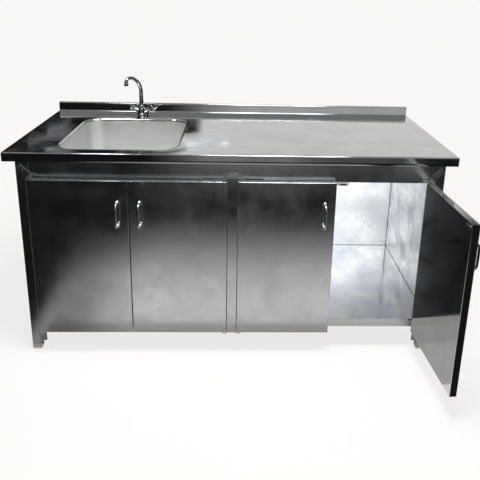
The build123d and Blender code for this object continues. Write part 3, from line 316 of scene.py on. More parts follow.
def sheet_steel(name, tint, roughness, grain, ripple=0.25, cloud=0.05, seed=0.0,
                inside=None, joints=()):
    """Satin sheet: fine drawn grain, milky clouds and the slight waves of thin sheet.

    On the face that lies inside the unit it has a cloudy film and dark lines at the joints."""
    finish = Finish(name, tint, roughness)
    lines = finish.noise(grain, seed=seed)
    clouds = finish.noise(7.0, detail=5.0, seed=seed + 3.0, distortion=0.8)
    wipes = finish.noise((16.0, 16.0, 4.0), detail=3.0, seed=seed + 7.0)
    waves = finish.noise((2.6, 2.6, 2.1), detail=1.0, seed=seed + 11.0)
    changes = [
        finish.spread(lines, -GRAIN_ROUGHNESS, GRAIN_ROUGHNESS),
        finish.spread(clouds, -cloud, cloud),
        finish.spread(wipes, -cloud / 2, cloud / 2),
    ]
    if inside:
        face = finish.near(*inside, FACE_DEPTH)
        film = finish.spread(clouds, -FILM_ROUGHNESS, FILM_ROUGHNESS)
        changes.append(finish.times(film, face))
    finish.vary_roughness(*changes)
    finish.wear(clouds, 0.95 if inside else 0.88)
    if inside:
        finish.stain(finish.times(finish.spread(clouds, 0.0, 1.0), face), FILM_TINT)
        for axis, place in joints:
            joint = finish.near(axis, place, JOINT_WIDTH)
            finish.stain(finish.times(joint, face), JOINT_TINT)
    finish.emboss(waves, ripple * WAVE_RELIEF)
    finish.emboss(lines, GRAIN_RELIEF)
    return finish.material


RIM_BLEND = (TOP - 13 * MM, TOP - 8 * MM)


def pressed_steel(name, tint, roughness, rim_tint, rim_roughness):
    """Deep-drawn sheet: a satin with an orange-peel skin, and a rim ground like the worktop."""
    finish = Finish(name, tint, roughness)
    clouds = finish.noise(14.0, detail=4.0, distortion=0.5)
    rim = finish.spread(finish.along("Z"), 0.0, 1.0, *RIM_BLEND)
    finish.vary_roughness(
        finish.spread(clouds, -0.05, 0.05),
        finish.spread(rim, 0.0, rim_roughness - roughness, 0.0, 1.0),
    )
    finish.stain(rim, rim_tint)
    finish.emboss(finish.noise(700.0), 0.006 * MM)
    return finish.material


def speckled(name, tint, roughness, fine, fine_change, coarse, coarse_change, worn, relief,
             metallic=1.0):
    """A skin with a fine relief, and coarse patches where it is duller and darker."""
    finish = Finish(name, tint, roughness, metallic)
    grain = finish.noise(*fine)
    patches = finish.noise(*coarse)
    finish.vary_roughness(
        finish.spread(grain, *fine_change), finish.spread(patches, *coarse_change),
    )
    finish.wear(patches, worn)
    finish.emboss(grain, relief)
    return finish.material


def plated_steel(name, tint, roughness):
    """Zinc-plated steel: a fine crystalline mottle and slight dulling."""
    return speckled(
        name, tint, roughness, (420.0, 3.0), (-0.05, 0.08), (60.0, 3.0), (-0.04, 0.06), 0.82,
        0.008 * MM,
    )


def turned_brass(name, tint):
    """Brass with the fine rings of turning, stained by water."""
    return speckled(
        name, tint, 0.32, ((4.0, 4.0, 1400.0), 2.0), (-0.06, 0.06), (70.0, 4.0), (-0.03, 0.1),
        0.7, 0.01 * MM,
    )


def moulded_plastic(name, tint, roughness):
    """Moulded plastic with a fine spark-eroded grain."""
    return speckled(
        name, tint, roughness, (1800.0, 2.0), (-0.05, 0.05), (35.0, 3.0), (0.0, 0.0), 0.94,
        0.01 * MM, metallic=0.0,
    )


def polished_chrome(name, tint, roughness):
    """Mirror chrome with faint water marks."""
    finish = Finish(name, tint, roughness)
    marks = finish.noise((90.0, 90.0, 55.0), detail=4.0, distortion=1.0)
    finish.vary_roughness(finish.spread(marks, -0.02, 0.07, 0.45, 0.8))
    finish.wear(marks, 0.92, 0.5, 0.9)
    return finish.material


def grainy(name, tint, roughness, metallic, waves, detail, other, relief):
    """A matt solid with one grain, which takes it to another colour."""
    finish = Finish(name, tint, roughness, metallic)
    grain = finish.noise(waves, detail=detail)
    finish.vary_roughness(finish.spread(grain, -0.1, 0.1))
    finish.stain(finish.spread(grain, 0.0, 1.0), other)
    finish.emboss(grain, relief)
    return finish.material


def dull_rubber(name):
    return grainy(name, (0.04, 0.04, 0.04), 0.75, 0.0, 120.0, 4.0, (0.08, 0.08, 0.08), 0.03 * MM)


def sintered_magnet(name):
    return grainy(name, (0.09, 0.09, 0.10), 0.6, 0.3, 1500.0, 3.0, (0.05, 0.05, 0.05), 0.02 * MM)


def paint(material, *nodes):
    """Gives CAD nodes a material in their objects' own slots."""
    for node in nodes:
        NODES[node].data.materials.clear()
        NODES[node].data.materials.append(material)


# ---- meshes ----
def hand_over(piece, material, body, slot, *replaced, crease=35.0):
    """Finishes a piece: smooth faces, its material, its body and what it stands for."""
    mesh = piece.data
    for polygon in mesh.polygons:
        polygon.use_smooth = True
    mesh.set_sharp_from_angle(angle=math.radians(crease))
    mesh.materials.clear()
    mesh.materials.append(material)
    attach(piece, body)
    if replaced:
        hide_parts(*replaced)
    return piece


def new_piece(name, mesh):
    piece = bpy.data.objects.new(name, mesh)
    bpy.context.scene.collection.objects.link(piece)
    return piece


WELD = 0.01 * MM


def piece_of(name, *shells):
    """A piece from several lists of points and faces, welded, with every face outwards."""
    points, faces = [], []
    for shell_points, shell_faces in shells:
        base = len(points)
        points += shell_points
        faces += [tuple(base + corner for corner in face) for face in shell_faces]
    mesh = bpy.data.meshes.new(name)
    mesh.from_pydata([tuple(point) for point in points], [], faces)
    work = bmesh.new()
    work.from_mesh(mesh)
    bmesh.ops.remove_doubles(work, verts=work.verts, dist=WELD)
    bmesh.ops.recalc_face_normals(work, faces=work.faces)
    work.to_mesh(mesh)
    work.free()
    mesh.update()
    return new_piece(name, mesh)


def settled(piece):
    """The piece with its modifiers made part of its mesh."""
    depsgraph = bpy.context.evaluated_depsgraph_get()
    mesh = bpy.data.meshes.new_from_object(piece.evaluated_get(depsgraph))
    mesh.name = piece.name
    piece.modifiers.clear()
    old = piece.data
    piece.data = mesh
    bpy.data.meshes.remove(old)
    return piece


def thickened(piece, wall):
    """The piece's open sheet, thickened away from the side that its faces look to."""
    shell = piece.modifiers.new("wall", "SOLIDIFY")
    shell.thickness = wall
    shell.offset = -1.0
    return settled(piece)


def mm(*pairs):
    """Points of a profile that are given in millimetres."""
    return [(first * MM, second * MM) for first, second in pairs]


def arc(centre, radius, start, end, steps):
    """(across, up) points on an arc, with angles in degrees."""
    turns = [math.radians(start + (end - start) * step / steps) for step in range(steps + 1)]
    return [(centre[0] + radius * math.cos(t), centre[1] + radius * math.sin(t)) for t in turns]


def grid_faces(rows, columns, closed=False, flip=False):
    """Faces between rows of points that follow each other; closed rows end where they start."""
    faces = []
    for row in range(rows - 1):
        low, high = row * columns, (row + 1) * columns
        for column in range(columns if closed else columns - 1):
            after = (column + 1) % columns
            a, b, c, d = low + column, low + after, high + after, high + column
            faces.append((a, d, c, b) if flip else (a, b, c, d))
    return faces


AXIS_GAP = 1e-9


def lathe(profile, place=Matrix.Identity(4), steps=64):
    """Points and faces of a turned shape about Z; its ends lie on the axis or on each other."""
    points, faces, rings = [], [], []
    for radius, height in profile:
        if radius < AXIS_GAP:
            rings.append([len(points)])
            points.append(place @ Vector((0.0, 0.0, height)))
            continue
        rings.append(list(range(len(points), len(points) + steps)))
        for step in range(steps):
            turn = math.tau * step / steps
            spot = Vector((radius * math.cos(turn), radius * math.sin(turn), height))
            points.append(place @ spot)
    for low, high in zip(rings, rings[1:]):
        for step in range(steps):
            after = (step + 1) % steps
            if len(low) == 1 and len(high) == 1:
                continue
            if len(low) == 1:
                faces.append((low[0], high[after], high[step]))
            elif len(high) == 1:
                faces.append((low[step], low[after], high[0]))
            else:
                faces.append((low[step], low[after], high[after], high[step]))
    return points, faces


def tube(centres, radii, steps=40):
    """Points and faces of a closed round bar along a line of centres."""
    points = []
    side = None
    for index, centre in enumerate(centres):
        before = centres[max(index - 1, 0)]
        behind = centres[min(index + 1, len(centres) - 1)]
        ahead = (behind - before).normalized()
        if side is None:
            side = ahead.orthogonal().normalized()
        side = (side - ahead * side.dot(ahead)).normalized()
        across = ahead.cross(side)
        for step in range(steps):
            turn = math.tau * step / steps
            way = side * math.cos(turn) + across * math.sin(turn)
            points.append(centre + way * radii[index])
    faces = grid_faces(len(centres), steps, closed=True)
    last = (len(centres) - 1) * steps
    for tip, start, flip in ((centres[0], 0, True), (centres[-1], last, False)):
        hub = len(points)
        points.append(tip)
        for step in range(steps):
            pair = (start + step, start + (step + 1) % steps)
            faces.append((pair[1], pair[0], hub) if flip else (*pair, hub))
    return points, faces


POINT_GRID = 1e6


def islands(node):
    """(lowest corner, highest corner) of each separate solid in a CAD node."""
    mesh = NODES[node].data
    ids, parent = {}, []

    def find(index):
        while parent[index] != index:
            parent[index] = parent[parent[index]]
            index = parent[index]
        return index

    corner = []
    for vertex in mesh.vertices:
        key = tuple(round(value * POINT_GRID) for value in vertex.co)
        if key not in ids:
            ids[key] = len(parent)
            parent.append(len(parent))
        corner.append(ids[key])
    for polygon in mesh.polygons:
        first = find(corner[polygon.vertices[0]])
        for other in polygon.vertices[1:]:
            parent[find(corner[other])] = first
    boxes = {}
    for vertex in mesh.vertices:
        root = find(corner[vertex.index])
        low, high = boxes.setdefault(root, (vertex.co.copy(), vertex.co.copy()))
        for axis in range(3):
            low[axis] = min(low[axis], vertex.co[axis])
            high[axis] = max(high[axis], vertex.co[axis])
    return sorted(boxes.values(), key=lambda pair: tuple(pair[0]))


# ---- Geometry Nodes ----
class Recipe(Nodes):
    """A Geometry Nodes tree with named inputs, added from the input to the output."""

    def __init__(self, name, **inputs):
        super().__init__(bpy.data.node_groups.new(name, "GeometryNodeTree"))
        face = self.tree.interface
        for way in ("INPUT", "OUTPUT"):
            face.new_socket("Geometry", in_out=way, socket_type="NodeSocketGeometry")
        self.values = {}
        kinds = {int: "NodeSocketInt", float: "NodeSocketFloat"}
        titles = {label: label.replace("_", " ").title() for label in inputs}
        for label, value in inputs.items():
            kind = "NodeSocketMaterial" if label == "material" else kinds[type(value)]
            socket = face.new_socket(titles[label], in_out="INPUT", socket_type=kind)
            self.values[socket.identifier] = value
        group = self.add("NodeGroupInput")
        self.source = group.outputs["Geometry"]
        self.named = {label: group.outputs[title] for label, title in titles.items()}

    def vector(self, x=0.0, y=0.0, z=0.0):
        return self.add("ShaderNodeCombineXYZ", X=x, Y=y, Z=z).outputs["Vector"]

    def raised(self, shape, height):
        """The shape moved up by this height."""
        offset = self.vector(z=height)
        return self.add(
            "GeometryNodeTransform", Geometry=shape, Translation=offset,
        ).outputs["Geometry"]

    def bar(self, radius, height, sides):
        """A round or many-sided bar, centred on the origin along Z."""
        return self.add(
            "GeometryNodeMeshCylinder", Vertices=sides, Radius=radius, Depth=height,
        ).outputs["Mesh"]

    def cone(self, low, high, height, sides):
        """A cut cone that stands on the origin."""
        return self.add(
            "GeometryNodeMeshCone", Vertices=sides, Radius_Bottom=low, Radius_Top=high,
            Depth=height,
        ).outputs["Mesh"]

    def box(self, x, y, z):
        return self.add("GeometryNodeMeshCube", Size=self.vector(x, y, z)).outputs["Mesh"]

    def join(self, *shapes):
        node = self.add("GeometryNodeJoinGeometry")
        for shape in shapes:
            self.feed(node.inputs["Geometry"], shape)
        return node.outputs["Geometry"]

    def carve(self, body, *cutters, operation="DIFFERENCE"):
        """The body without the cutters; without a body, what all the cutters share."""
        settings = {"operation": operation, "solver": "MANIFOLD"}
        node = self.add("GeometryNodeMeshBoolean", settings)
        if body:
            self.feed(node.inputs["Mesh 1"], body)
        for cutter in cutters:
            self.feed(node.inputs["Mesh 2"], cutter)
        return node.outputs["Mesh"]

    def on_points(self, shape, points, axis, way):
        """The shape on every point, with this axis of its own turned the way said there."""
        turn = self.add("FunctionNodeAlignRotationToVector", {"axis": axis}, Vector=way)
        return self.add(
            "GeometryNodeInstanceOnPoints", Points=points, Instance=shape,
            Rotation=turn.outputs["Rotation"],
        ).outputs["Instances"]

    def facing_out(self, shape):
        """The shape on every source point, its Z turned as the point's facing says."""
        settings = {"data_type": "FLOAT_VECTOR"}
        facing = self.add("GeometryNodeInputNamedAttribute", settings, Name=FACING)
        return self.on_points(shape, self.source, "Z", facing.outputs["Attribute"])

    def real(self, shape):
        return self.add("GeometryNodeRealizeInstances", Geometry=shape).outputs["Geometry"]

    def circle_of(self, shape, radius, count, height=0.0):
        """The shape repeated on a circle about Z, turned with it and made real."""
        circle = self.add("GeometryNodeMeshCircle", Vertices=count, Radius=radius)
        points = self.raised(circle.outputs["Mesh"], height)
        place = self.add("GeometryNodeInputPosition").outputs["Position"]
        return self.real(self.on_points(shape, points, "X", place))

    def finish(self, shape):
        """Ends the tree with Realize Instances and Set Material."""
        painted = self.add(
            "GeometryNodeSetMaterial", Geometry=self.real(shape), Material=self.named["material"],
        )
        self.add("NodeGroupOutput", Geometry=painted.outputs["Geometry"])

    def grow(self, piece):
        """Runs the tree on a piece and leaves a plain mesh."""
        modifier = piece.modifiers.new(self.tree.name, "NODES")
        modifier.node_group = self.tree
        for identifier, value in self.values.items():
            modifier[identifier] = value
        return settled(piece)

    def drill(self, piece, cutters):
        """Cuts the cutters out of a piece."""
        self.finish(self.carve(self.source, *cutters))
        return self.grow(piece)


FACING = "facing"


def facing_points(name, places):
    """Loose points, each with the way that its piece faces, for a tree to put pieces on."""
    mesh = bpy.data.meshes.new(name)
    mesh.from_pydata([tuple(place) for place, _ in places], [], [])
    facing = mesh.attributes.new(FACING, "FLOAT_VECTOR", "POINT")
    facing.data.foreach_set("vector", [channel for _, way in places for channel in way])
    return new_piece(name, mesh)


# ---- the worktop ----
def outline_distance(x, y, half_x, half_y, corner):
    """Distance from the bowl's rounded outline, below zero inside it."""
    across = abs(x - BOWL.x) - half_x + corner
    along = abs(y - BOWL.y) - half_y + corner
    outside = math.hypot(max(across, 0.0), max(along, 0.0))
    return outside + min(max(across, along), 0.0) - corner


def bowl_halves(grow):
    """Half width, half length and corner radius of the bowl's mouth, grown all round."""
    rim = sizes().rim_radius + sizes().rim_flat
    half_x = (BOWL_HIGH.x - BOWL_LOW.x) / 2 - rim + grow
    half_y = (BOWL_HIGH.y - BOWL_LOW.y) / 2 - rim + grow
    return half_x, half_y, sizes().bowl_corner + grow


RING_COUNT = 192
SIDE_COUNT = RING_COUNT // 4
SHEET_RINGS = 26
SHEET_COLUMNS = 64
RING_CROWDING = 1.5


def rounded_ring(half_x, half_y, corner, height):
    """Points round a rounded rectangle about the bowl, from corner middle to corner middle."""
    ring = []
    arc_length = corner * math.pi / 4
    for quarter in range(4):
        here, there = (half_x, half_y) if quarter % 2 == 0 else (half_y, half_x)
        straight = there - corner
        run = 2 * arc_length + 2 * straight
        for step in range(SIDE_COUNT):
            way = run * step / SIDE_COUNT
            if way < arc_length:
                turn = -math.pi / 4 + way / corner
                across = here - corner + corner * math.cos(turn)
                along = -straight + corner * math.sin(turn)
            elif way < arc_length + 2 * straight:
                across, along = here, -straight + way - arc_length
            else:
                turn = (way - arc_length - 2 * straight) / corner
                across = here - corner + corner * math.cos(turn)
                along = straight + corner * math.sin(turn)
            for _ in range(quarter):
                across, along = -along, across
            ring.append(Vector((BOWL.x + across, BOWL.y + along, height)))
    return ring


SIDE_PULL = 0.55
CORNER_PULL = 0.45


def dished(x, y):
    """Height of the worktop's upper face: drawn down round the bowl, most at its corners."""
    half_x, half_y, corner = bowl_halves(0.0)
    away = max(outline_distance(x, y, half_x, half_y, corner), 0.0)
    fall = math.exp(-((away / sizes().dish_reach) ** 2))
    diagonal = abs((x - BOWL.x) / half_x) * abs((y - BOWL.y) / half_y)
    return TOP - sizes().dish_depth * fall * (SIDE_PULL + CORNER_PULL * min(diagonal, 1.0))


def on_sheet(x, y):
    return Vector((x, y, dished(x, y)))


def worktop_span():
    """x of the flat top's ends, and of the line where the rings round the bowl end."""
    left, right = -SIDE + sizes().bend, SIDE - sizes().bend
    return left, right, BOWL_HIGH.x + (BOWL_LOW.x - left)


def front_stations():
    """The x of the points along the front edge, the same as the upper face has."""
    left, right, split = worktop_span()
    stations = [left + (split - left) * step / SIDE_COUNT for step in range(SIDE_COUNT + 1)]
    columns = range(1, SHEET_COLUMNS + 1)
    return stations + [split + (right - split) * column / SHEET_COLUMNS for column in columns]


def worktop_shells():
    """The worktop's upper face round the bowl and beside it."""
    left, right, split = worktop_span()
    front = FRONT + sizes().bend
    back = WORKTOP_HIGH.y - sizes().upstand
    hole = rounded_ring(*bowl_halves(sizes().rim_radius + sizes().rim_flat), TOP)
    corners = [(split, front), (split, back), (left, back), (left, front)]
    border = []
    for start, end in zip(corners, corners[1:] + corners[:1]):
        for step in range(SIDE_COUNT):
            way = step / SIDE_COUNT
            x, y = (a + (b - a) * way for a, b in zip(start, end))
            border.append(Vector((x, y, TOP)))
    around = []
    for ring in range(SHEET_RINGS + 1):
        way = (ring / SHEET_RINGS) ** RING_CROWDING
        spots = [inner.lerp(outer, way) for inner, outer in zip(hole, border)]
        around += [on_sheet(spot.x, spot.y) for spot in spots]
    beside = []
    for column in range(SHEET_COLUMNS + 1):
        x = split + (right - split) * column / SHEET_COLUMNS
        for row in range(SIDE_COUNT + 1):
            beside.append(on_sheet(x, front + (back - front) * row / SIDE_COUNT))
    return (
        (around, grid_faces(SHEET_RINGS + 1, RING_COUNT, closed=True, flip=True)),
        (beside, grid_faces(SHEET_COLUMNS + 1, SIDE_COUNT + 1, flip=True)),
    )


CORNER_STEPS = 6
EDGE_LEVELS = (0.03, 0.35, 0.65, 0.93)


def skirt_shell():
    """The folded edge along the left end, the front and the right end."""
    bend = sizes().bend
    low = WORKTOP_LOW.z
    back = WORKTOP_HIGH.y - sizes().upstand
    left, right, _ = worktop_span()
    front = FRONT + bend

    def corner(x, start):
        turns = [math.radians(start + 90 * step / CORNER_STEPS) for step in range(1, CORNER_STEPS)]
        return [(x, front, (math.cos(turn), math.sin(turn))) for turn in turns]

    rows = range(SIDE_COUNT + 1)
    rim = [(left, back + (front - back) * row / SIDE_COUNT, (-1.0, 0.0)) for row in rows]
    rim += corner(left, 180)
    rim += [(x, front, (0.0, -1.0)) for x in front_stations()]
    rim += corner(right, 270)
    rim += [(right, front + (back - FRONT - bend) * row / SIDE_COUNT, (1.0, 0.0)) for row in rows]
    turns = [math.radians(15 * step) for step in range(7)]
    profile = [(bend * math.sin(turn), bend * (math.cos(turn) - 1)) for turn in turns]
    profile += [(bend, -bend - (TOP - bend - low) * part) for part in EDGE_LEVELS]
    under = low - TOP + sizes().sheet
    profile += [(bend - 0.3 * MM, under), (bend - sizes().edge_return, under)]
    points = []
    for out, down in profile:
        for x, y, (way_x, way_y) in rim:
            height = dished(x, y) if down == 0 else TOP + down
            points.append(Vector((x + out * way_x, y + out * way_y, height)))
    return points, grid_faces(len(profile), len(rim), flip=True)


END_STEP = 0.4 * MM


def upstand_shell():
    """The folded upstand along the back, a closed box with rounded top edges."""
    back = WORKTOP_HIGH.y
    front = back - sizes().upstand
    high, low = WORKTOP_HIGH.z, WORKTOP_LOW.z
    radius = sizes().bend
    profile = [(front - 2.2 * MM, TOP), (front - 1.0 * MM, TOP + 0.35 * MM)]
    profile += [(front, TOP + 2.2 * MM)]
    profile += arc((front + radius, high - radius), radius, 180, 90, 6)
    profile += arc((back - radius, high - radius), radius, 90, 0, 6)
    profile += [(back, (high + low) / 2), (back, low), (front, low), (front, TOP - 4 * MM)]
    stations = [-SIDE, -SIDE + END_STEP] + front_stations()[1:-1] + [SIDE - END_STEP, SIDE]
    points = [Vector((x, y, z)) for x in stations for y, z in profile]
    count = len(profile)
    faces = grid_faces(len(stations), count, closed=True)
    faces.append(tuple(range(count)))
    last = (len(stations) - 1) * count
    faces.append(tuple(last + step for step in reversed(range(count))))
    return points, faces


class DressWorktop(bpy.types.Operator):
    """Folds the worktop from sheet, drawn down round the bowl, with its upstand"""
    bl_idname = "sink_unit.dress_worktop"
    bl_label = "Worktop"

    def execute(self, context):
        made = finishes()
        steel = sheet_steel(
            "worktop_steel", made.worktop_tint, made.worktop_gloss, GRAIN_X, ripple=0.18, seed=1.0,
        )
        sheet = piece_of("worktop_sheet", *worktop_shells(), skirt_shell())
        thickened(sheet, sizes().sheet)
        upstand = piece_of("worktop_upstand", upstand_shell())
        for piece in (sheet, upstand):
            hand_over(piece, steel, "unit", "worktop_steel", "worktop")
        return {"FINISHED"}


# ---- the bowl and the waste ----
RIM_STEPS = 8
WALL_STEPS = 12
CURVE_STEPS = 10
FLOOR_STEPS = 14


def bowl_levels():
    """(out from the mouth, down from the worktop) from the flange to the floor's edge."""
    size = sizes()
    depth = TOP - (BOWL_LOW.z + size.bowl_wall)
    flange = size.rim_radius + size.rim_flat
    levels = [(out, 0.0) for out in (flange, flange - 0.4 * size.rim_flat, size.rim_radius)]
    reach = 90.0 - math.degrees(size.draft)
    for step in range(1, RIM_STEPS + 1):
        turn = math.radians(reach * step / RIM_STEPS)
        out, down = 1 - math.sin(turn), 1 - math.cos(turn)
        levels.append((size.rim_radius * out, size.rim_radius * down))
    wall_out, wall_down = levels[-1]
    fall = depth - size.floor_radius * (1 - math.sin(size.draft)) - wall_down
    end_out = wall_out - math.tan(size.draft) * fall
    for step in range(1, WALL_STEPS + 1):
        way = step / WALL_STEPS
        levels.append((wall_out + (end_out - wall_out) * way, wall_down + fall * way))
    centre_out = end_out - size.floor_radius * math.cos(size.draft)
    centre_down = depth - size.floor_radius
    for step in range(1, CURVE_STEPS + 1):
        turn = size.draft + (math.pi / 2 - size.draft) * step / CURVE_STEPS
        out, down = size.floor_radius * math.cos(turn), size.floor_radius * math.sin(turn)
        levels.append((centre_out + out, centre_down + down))
    return levels


def bowl_shell(waste_radius):
    """The pressed bowl from its flange to the waste hole."""
    rings = []
    for out, down in bowl_levels():
        ring = rounded_ring(*bowl_halves(out), TOP - down)
        fade = max(0.0, 1.0 - down / (4 * sizes().rim_radius))
        for point in ring:
            point.z += (dished(point.x, point.y) - TOP) * fade
        rings.append(ring)
    edge = rings[-1]
    drain = Vector((BOWL.x, BOWL.y, edge[0].z))
    ways = [Vector((point.x - BOWL.x, point.y - BOWL.y, 0.0)).normalized() for point in edge]
    hole = [drain + way * waste_radius for way in ways]
    for step in range(1, FLOOR_STEPS + 1):
        rings.append([outer.lerp(inner, step / FLOOR_STEPS) for outer, inner in zip(edge, hole)])
    points = [point for ring in rings for point in ring]
    return points, grid_faces(len(rings), RING_COUNT, closed=True)


DRAIN_LIP = 14 * MM


class DressBowl(bpy.types.Operator):
    """Draws the bowl from one sheet, with its rolled rim and rounded floor"""
    bl_idname = "sink_unit.dress_bowl"
    bl_label = "Bowl"

    def execute(self, context):
        made = finishes()
        steel = pressed_steel(
            "bowl_steel", made.bowl_tint, made.bowl_gloss, made.worktop_tint, made.worktop_gloss,
        )
        low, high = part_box("waste_body")
        bowl = piece_of("bowl_pressing", bowl_shell((high.x - low.x) / 2 - DRAIN_LIP))
        if sum(polygon.normal.z * polygon.area for polygon in bowl.data.polygons) < 0:
            bowl.data.flip_normals()
        thickened(bowl, sizes().bowl_wall)
        hand_over(bowl, steel, "unit", "bowl_steel", "sink_bowl", crease=50.0)
        return {"FINISHED"}


class DressWaste(bpy.types.Operator):
    """Gives the waste, its nut, gasket and tail their chrome, plastic and rubber"""
    bl_idname = "sink_unit.dress_waste"
    bl_label = "Waste"

    def execute(self, context):
        paint(polished_chrome("waste_chrome", finishes().chrome_tint, 0.12), "waste_body")
        plastic = moulded_plastic("waste_plastic", finishes().plastic_tint, 0.38)
        paint(plastic, "waste_nut", "waste_tail")
        paint(dull_rubber("gasket_rubber"), "waste_gasket")
        return {"FINISHED"}


BASKET_RIM = (BASKET_HIGH.x - BASKET_LOW.x) / 2
BASKET_RADIUS = BASKET_RIM - 8.1 * MM
BASKET_CORNER = 3.6 * MM
BASKET_WALL = 1.2 * MM
BASKET_LIP = 1.6 * MM
FLOOR_HOLES = ((0.32, 6), (0.56, 12), (0.80, 18))
SLOTS = 24
SLOT_RISE = 14 * MM
SLOT_TALL = 10 * MM
CUT_DEPTH = 8 * MM


def basket_profile():
    """(radius, height) round the strainer basket's wall, about its own axis."""
    low, high = BASKET_LOW.z, BASKET_HIGH.z
    radius, corner, wall, lip = BASKET_RADIUS, BASKET_CORNER, BASKET_WALL, BASKET_LIP
    profile = [(0.0, low)] + arc((radius - corner, low + corner), corner, -90, 0, 8)
    profile += [(radius, high - lip - 0.2 * MM), (radius + 0.2 * MM, high - lip)]
    profile += [(BASKET_RIM - 0.6 * MM, high - lip)]
    profile += arc((BASKET_RIM - 0.8 * MM, high - lip / 2), lip / 2, -90, 90, 6)
    profile += [(radius - wall + 0.6 * MM, high), (radius - wall, high - 0.6 * MM)]
    inner = corner - wall
    profile += arc((radius - wall - inner, low + wall + inner), inner, 0, -90, 8)
    return profile + [(0.0, low + wall)]


def knob_profile():
    """(radius, height) of the basket's knob, from its foot to its crown."""
    low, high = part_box("basket_knob")
    radius = (high.x - low.x) / 2
    profile = [(0.0, low.z), (3.2 * MM, low.z), (2.6 * MM, low.z + 2 * MM)]
    profile += [(2.4 * MM, high.z - 9 * MM), (3.4 * MM, high.z - 6.4 * MM)]
    profile += [(radius - 0.6 * MM, high.z - 5.6 * MM)]
    profile += arc((radius - 1.4 * MM, high.z - 3.6 * MM), 1.4 * MM, -60, 60, 6)
    return profile + [
        (radius - 2.4 * MM, high.z - 0.7 * MM), (radius * 0.35, high.z), (0.0, high.z),
    ]


class DressBasket(bpy.types.Operator):
    """Perforates the strainer basket and turns its knob"""
    bl_idname = "sink_unit.dress_basket"
    bl_label = "Strainer basket"

    def execute(self, context):
        chrome = polished_chrome("basket_chrome", finishes().chrome_tint, 0.14)
        centre = Matrix.Translation((BOWL.x, BOWL.y, 0.0))
        basket = piece_of("basket_perforated", lathe(basket_profile(), steps=96))
        recipe = Recipe(
            "perforations", hole_radius=sizes().perforation, floor_height=BASKET_LOW.z,
            wall_radius=BASKET_RADIUS, material=chrome,
        )
        hole, floor = recipe.named["hole_radius"], recipe.named["floor_height"]
        wall = recipe.named["wall_radius"]
        round_hole = recipe.bar(hole, CUT_DEPTH, 14)
        cutters = [
            recipe.circle_of(round_hole, recipe.times(wall, part), count, floor)
            for part, count in FLOOR_HOLES
        ]
        slot = recipe.box(CUT_DEPTH, recipe.times(hole, 1.1), SLOT_TALL)
        cutters.append(recipe.circle_of(slot, wall, SLOTS, recipe.plus(floor, SLOT_RISE)))
        recipe.drill(basket, cutters)
        basket.data.transform(centre)
        knob = piece_of("basket_knob_turned", lathe(knob_profile(), centre, steps=48))
        for piece, node in ((basket, "strainer_basket"), (knob, "basket_knob")):
            hand_over(piece, chrome, "strainer", "waste_chrome", node)
        return {"FINISHED"}


# ---- the frame, the doors and their fittings ----
CORNER_POSTS = ("front_left_post", "front_right_post", "rear_left_post", "rear_right_post")
RAILS = ("front_rail", "rear_rail", "side_rails", "worktop_stiffeners", "shelf_stiffener")
SIDE_PANELS = ("left_side_panel", "right_side_panel")
SHELF_GLOSS = 0.13


class DressFrame(bpy.types.Operator):
    """Gives the posts, rails, panels, shelf and stiffeners their satin steel"""
    bl_idname = "sink_unit.dress_frame"
    bl_label = "Frame and panels"

    def execute(self, context):
        made = finishes()
        shelf_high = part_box("bottom_shelf")[1]
        wall, floor = ("X", shelf_high.x), ("Z", shelf_high.z)
        back = ("Y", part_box("back_panel")[0].y)
        frame_steel = (made.frame_tint, made.frame_gloss)
        cabinet_steel = (made.cabinet_tint, made.cabinet_gloss, GRAIN_Z, 0.14, 0.03)
        # The shelf's steel is a little darker than the inside's: painted shade on the shelf.
        shelf_shaded_tint = darker(made.cabinet_tint, 0.94)
        for name, parts, *look in (
            ("post", CORNER_POSTS, *frame_steel, GRAIN_Z, 0.1, 0.05, 2.0),
            ("rail", RAILS, *frame_steel, GRAIN_X, 0.2, 0.05, 4.0),
            ("side", SIDE_PANELS, *cabinet_steel, 6.0, wall, (back, floor)),
            ("back", ("back_panel",), *cabinet_steel, 9.0, back, (wall, floor)),
            ("shelf", ("bottom_shelf",), shelf_shaded_tint, SHELF_GLOSS, GRAIN_X, 0.12, 0.05, 12.0, floor,
             (wall, back)),
            ("centre_post", ("centre_post",), made.door_tint, made.door_gloss, GRAIN_Z, 0.1, 0.05,
             8.0),
        ):
            paint(sheet_steel(f"{name}_steel", *look), *parts)
        plated = plated_steel("bracket_steel", made.plated_tint, 0.24)
        paint(plated, "centre_pivot_plates", "post_pivot_brackets", "pivot_pins")
        paint(moulded_plastic("washer_nylon", (0.85, 0.85, 0.82), 0.45), "pivot_washers")
        return {"FINISHED"}


class DressDoors(bpy.types.Operator):
    """Gives the doors' skins, liners, pivot blocks and strikes their steel"""
    bl_idname = "sink_unit.dress_doors"
    bl_label = "Doors"

    def execute(self, context):
        made = finishes()
        plated = plated_steel("pivot_block_steel", made.plated_tint, 0.26)
        for door in DOORS:
            skin = sheet_steel(
                f"door_{door}_steel", made.door_tint, made.door_gloss, GRAIN_Z,
                seed=20.0 + 5 * door,
            )
            liner = sheet_steel(
                f"door_{door}_liner_steel", made.liner_tint, made.liner_gloss, GRAIN_Z,
                ripple=0.12, cloud=0.02, seed=40.0 + 5 * door,
            )
            paint(skin, f"door_{door}_skin")
            paint(liner, f"door_{door}_liner")
            paint(plated, f"door_{door}_pivot_blocks", f"door_{door}_strike")
        return {"FINISHED"}


class DressCatches(bpy.types.Operator):
    """Gives the catches their white plastic and their magnets"""
    bl_idname = "sink_unit.dress_catches"
    bl_label = "Catches"

    def execute(self, context):
        paint(moulded_plastic("catch_plastic", finishes().plastic_tint, 0.42), "catch_bodies")
        paint(sintered_magnet("catch_magnet"), "catch_magnets")
        return {"FINISHED"}


DISC_SHARE = 0.45
DOME_SHARE = 0.55
DISC_MIDDLE = -0.775
DOME_TOP = 0.72
RECESS_REACH = 1.1
SPIN_SEED = 5


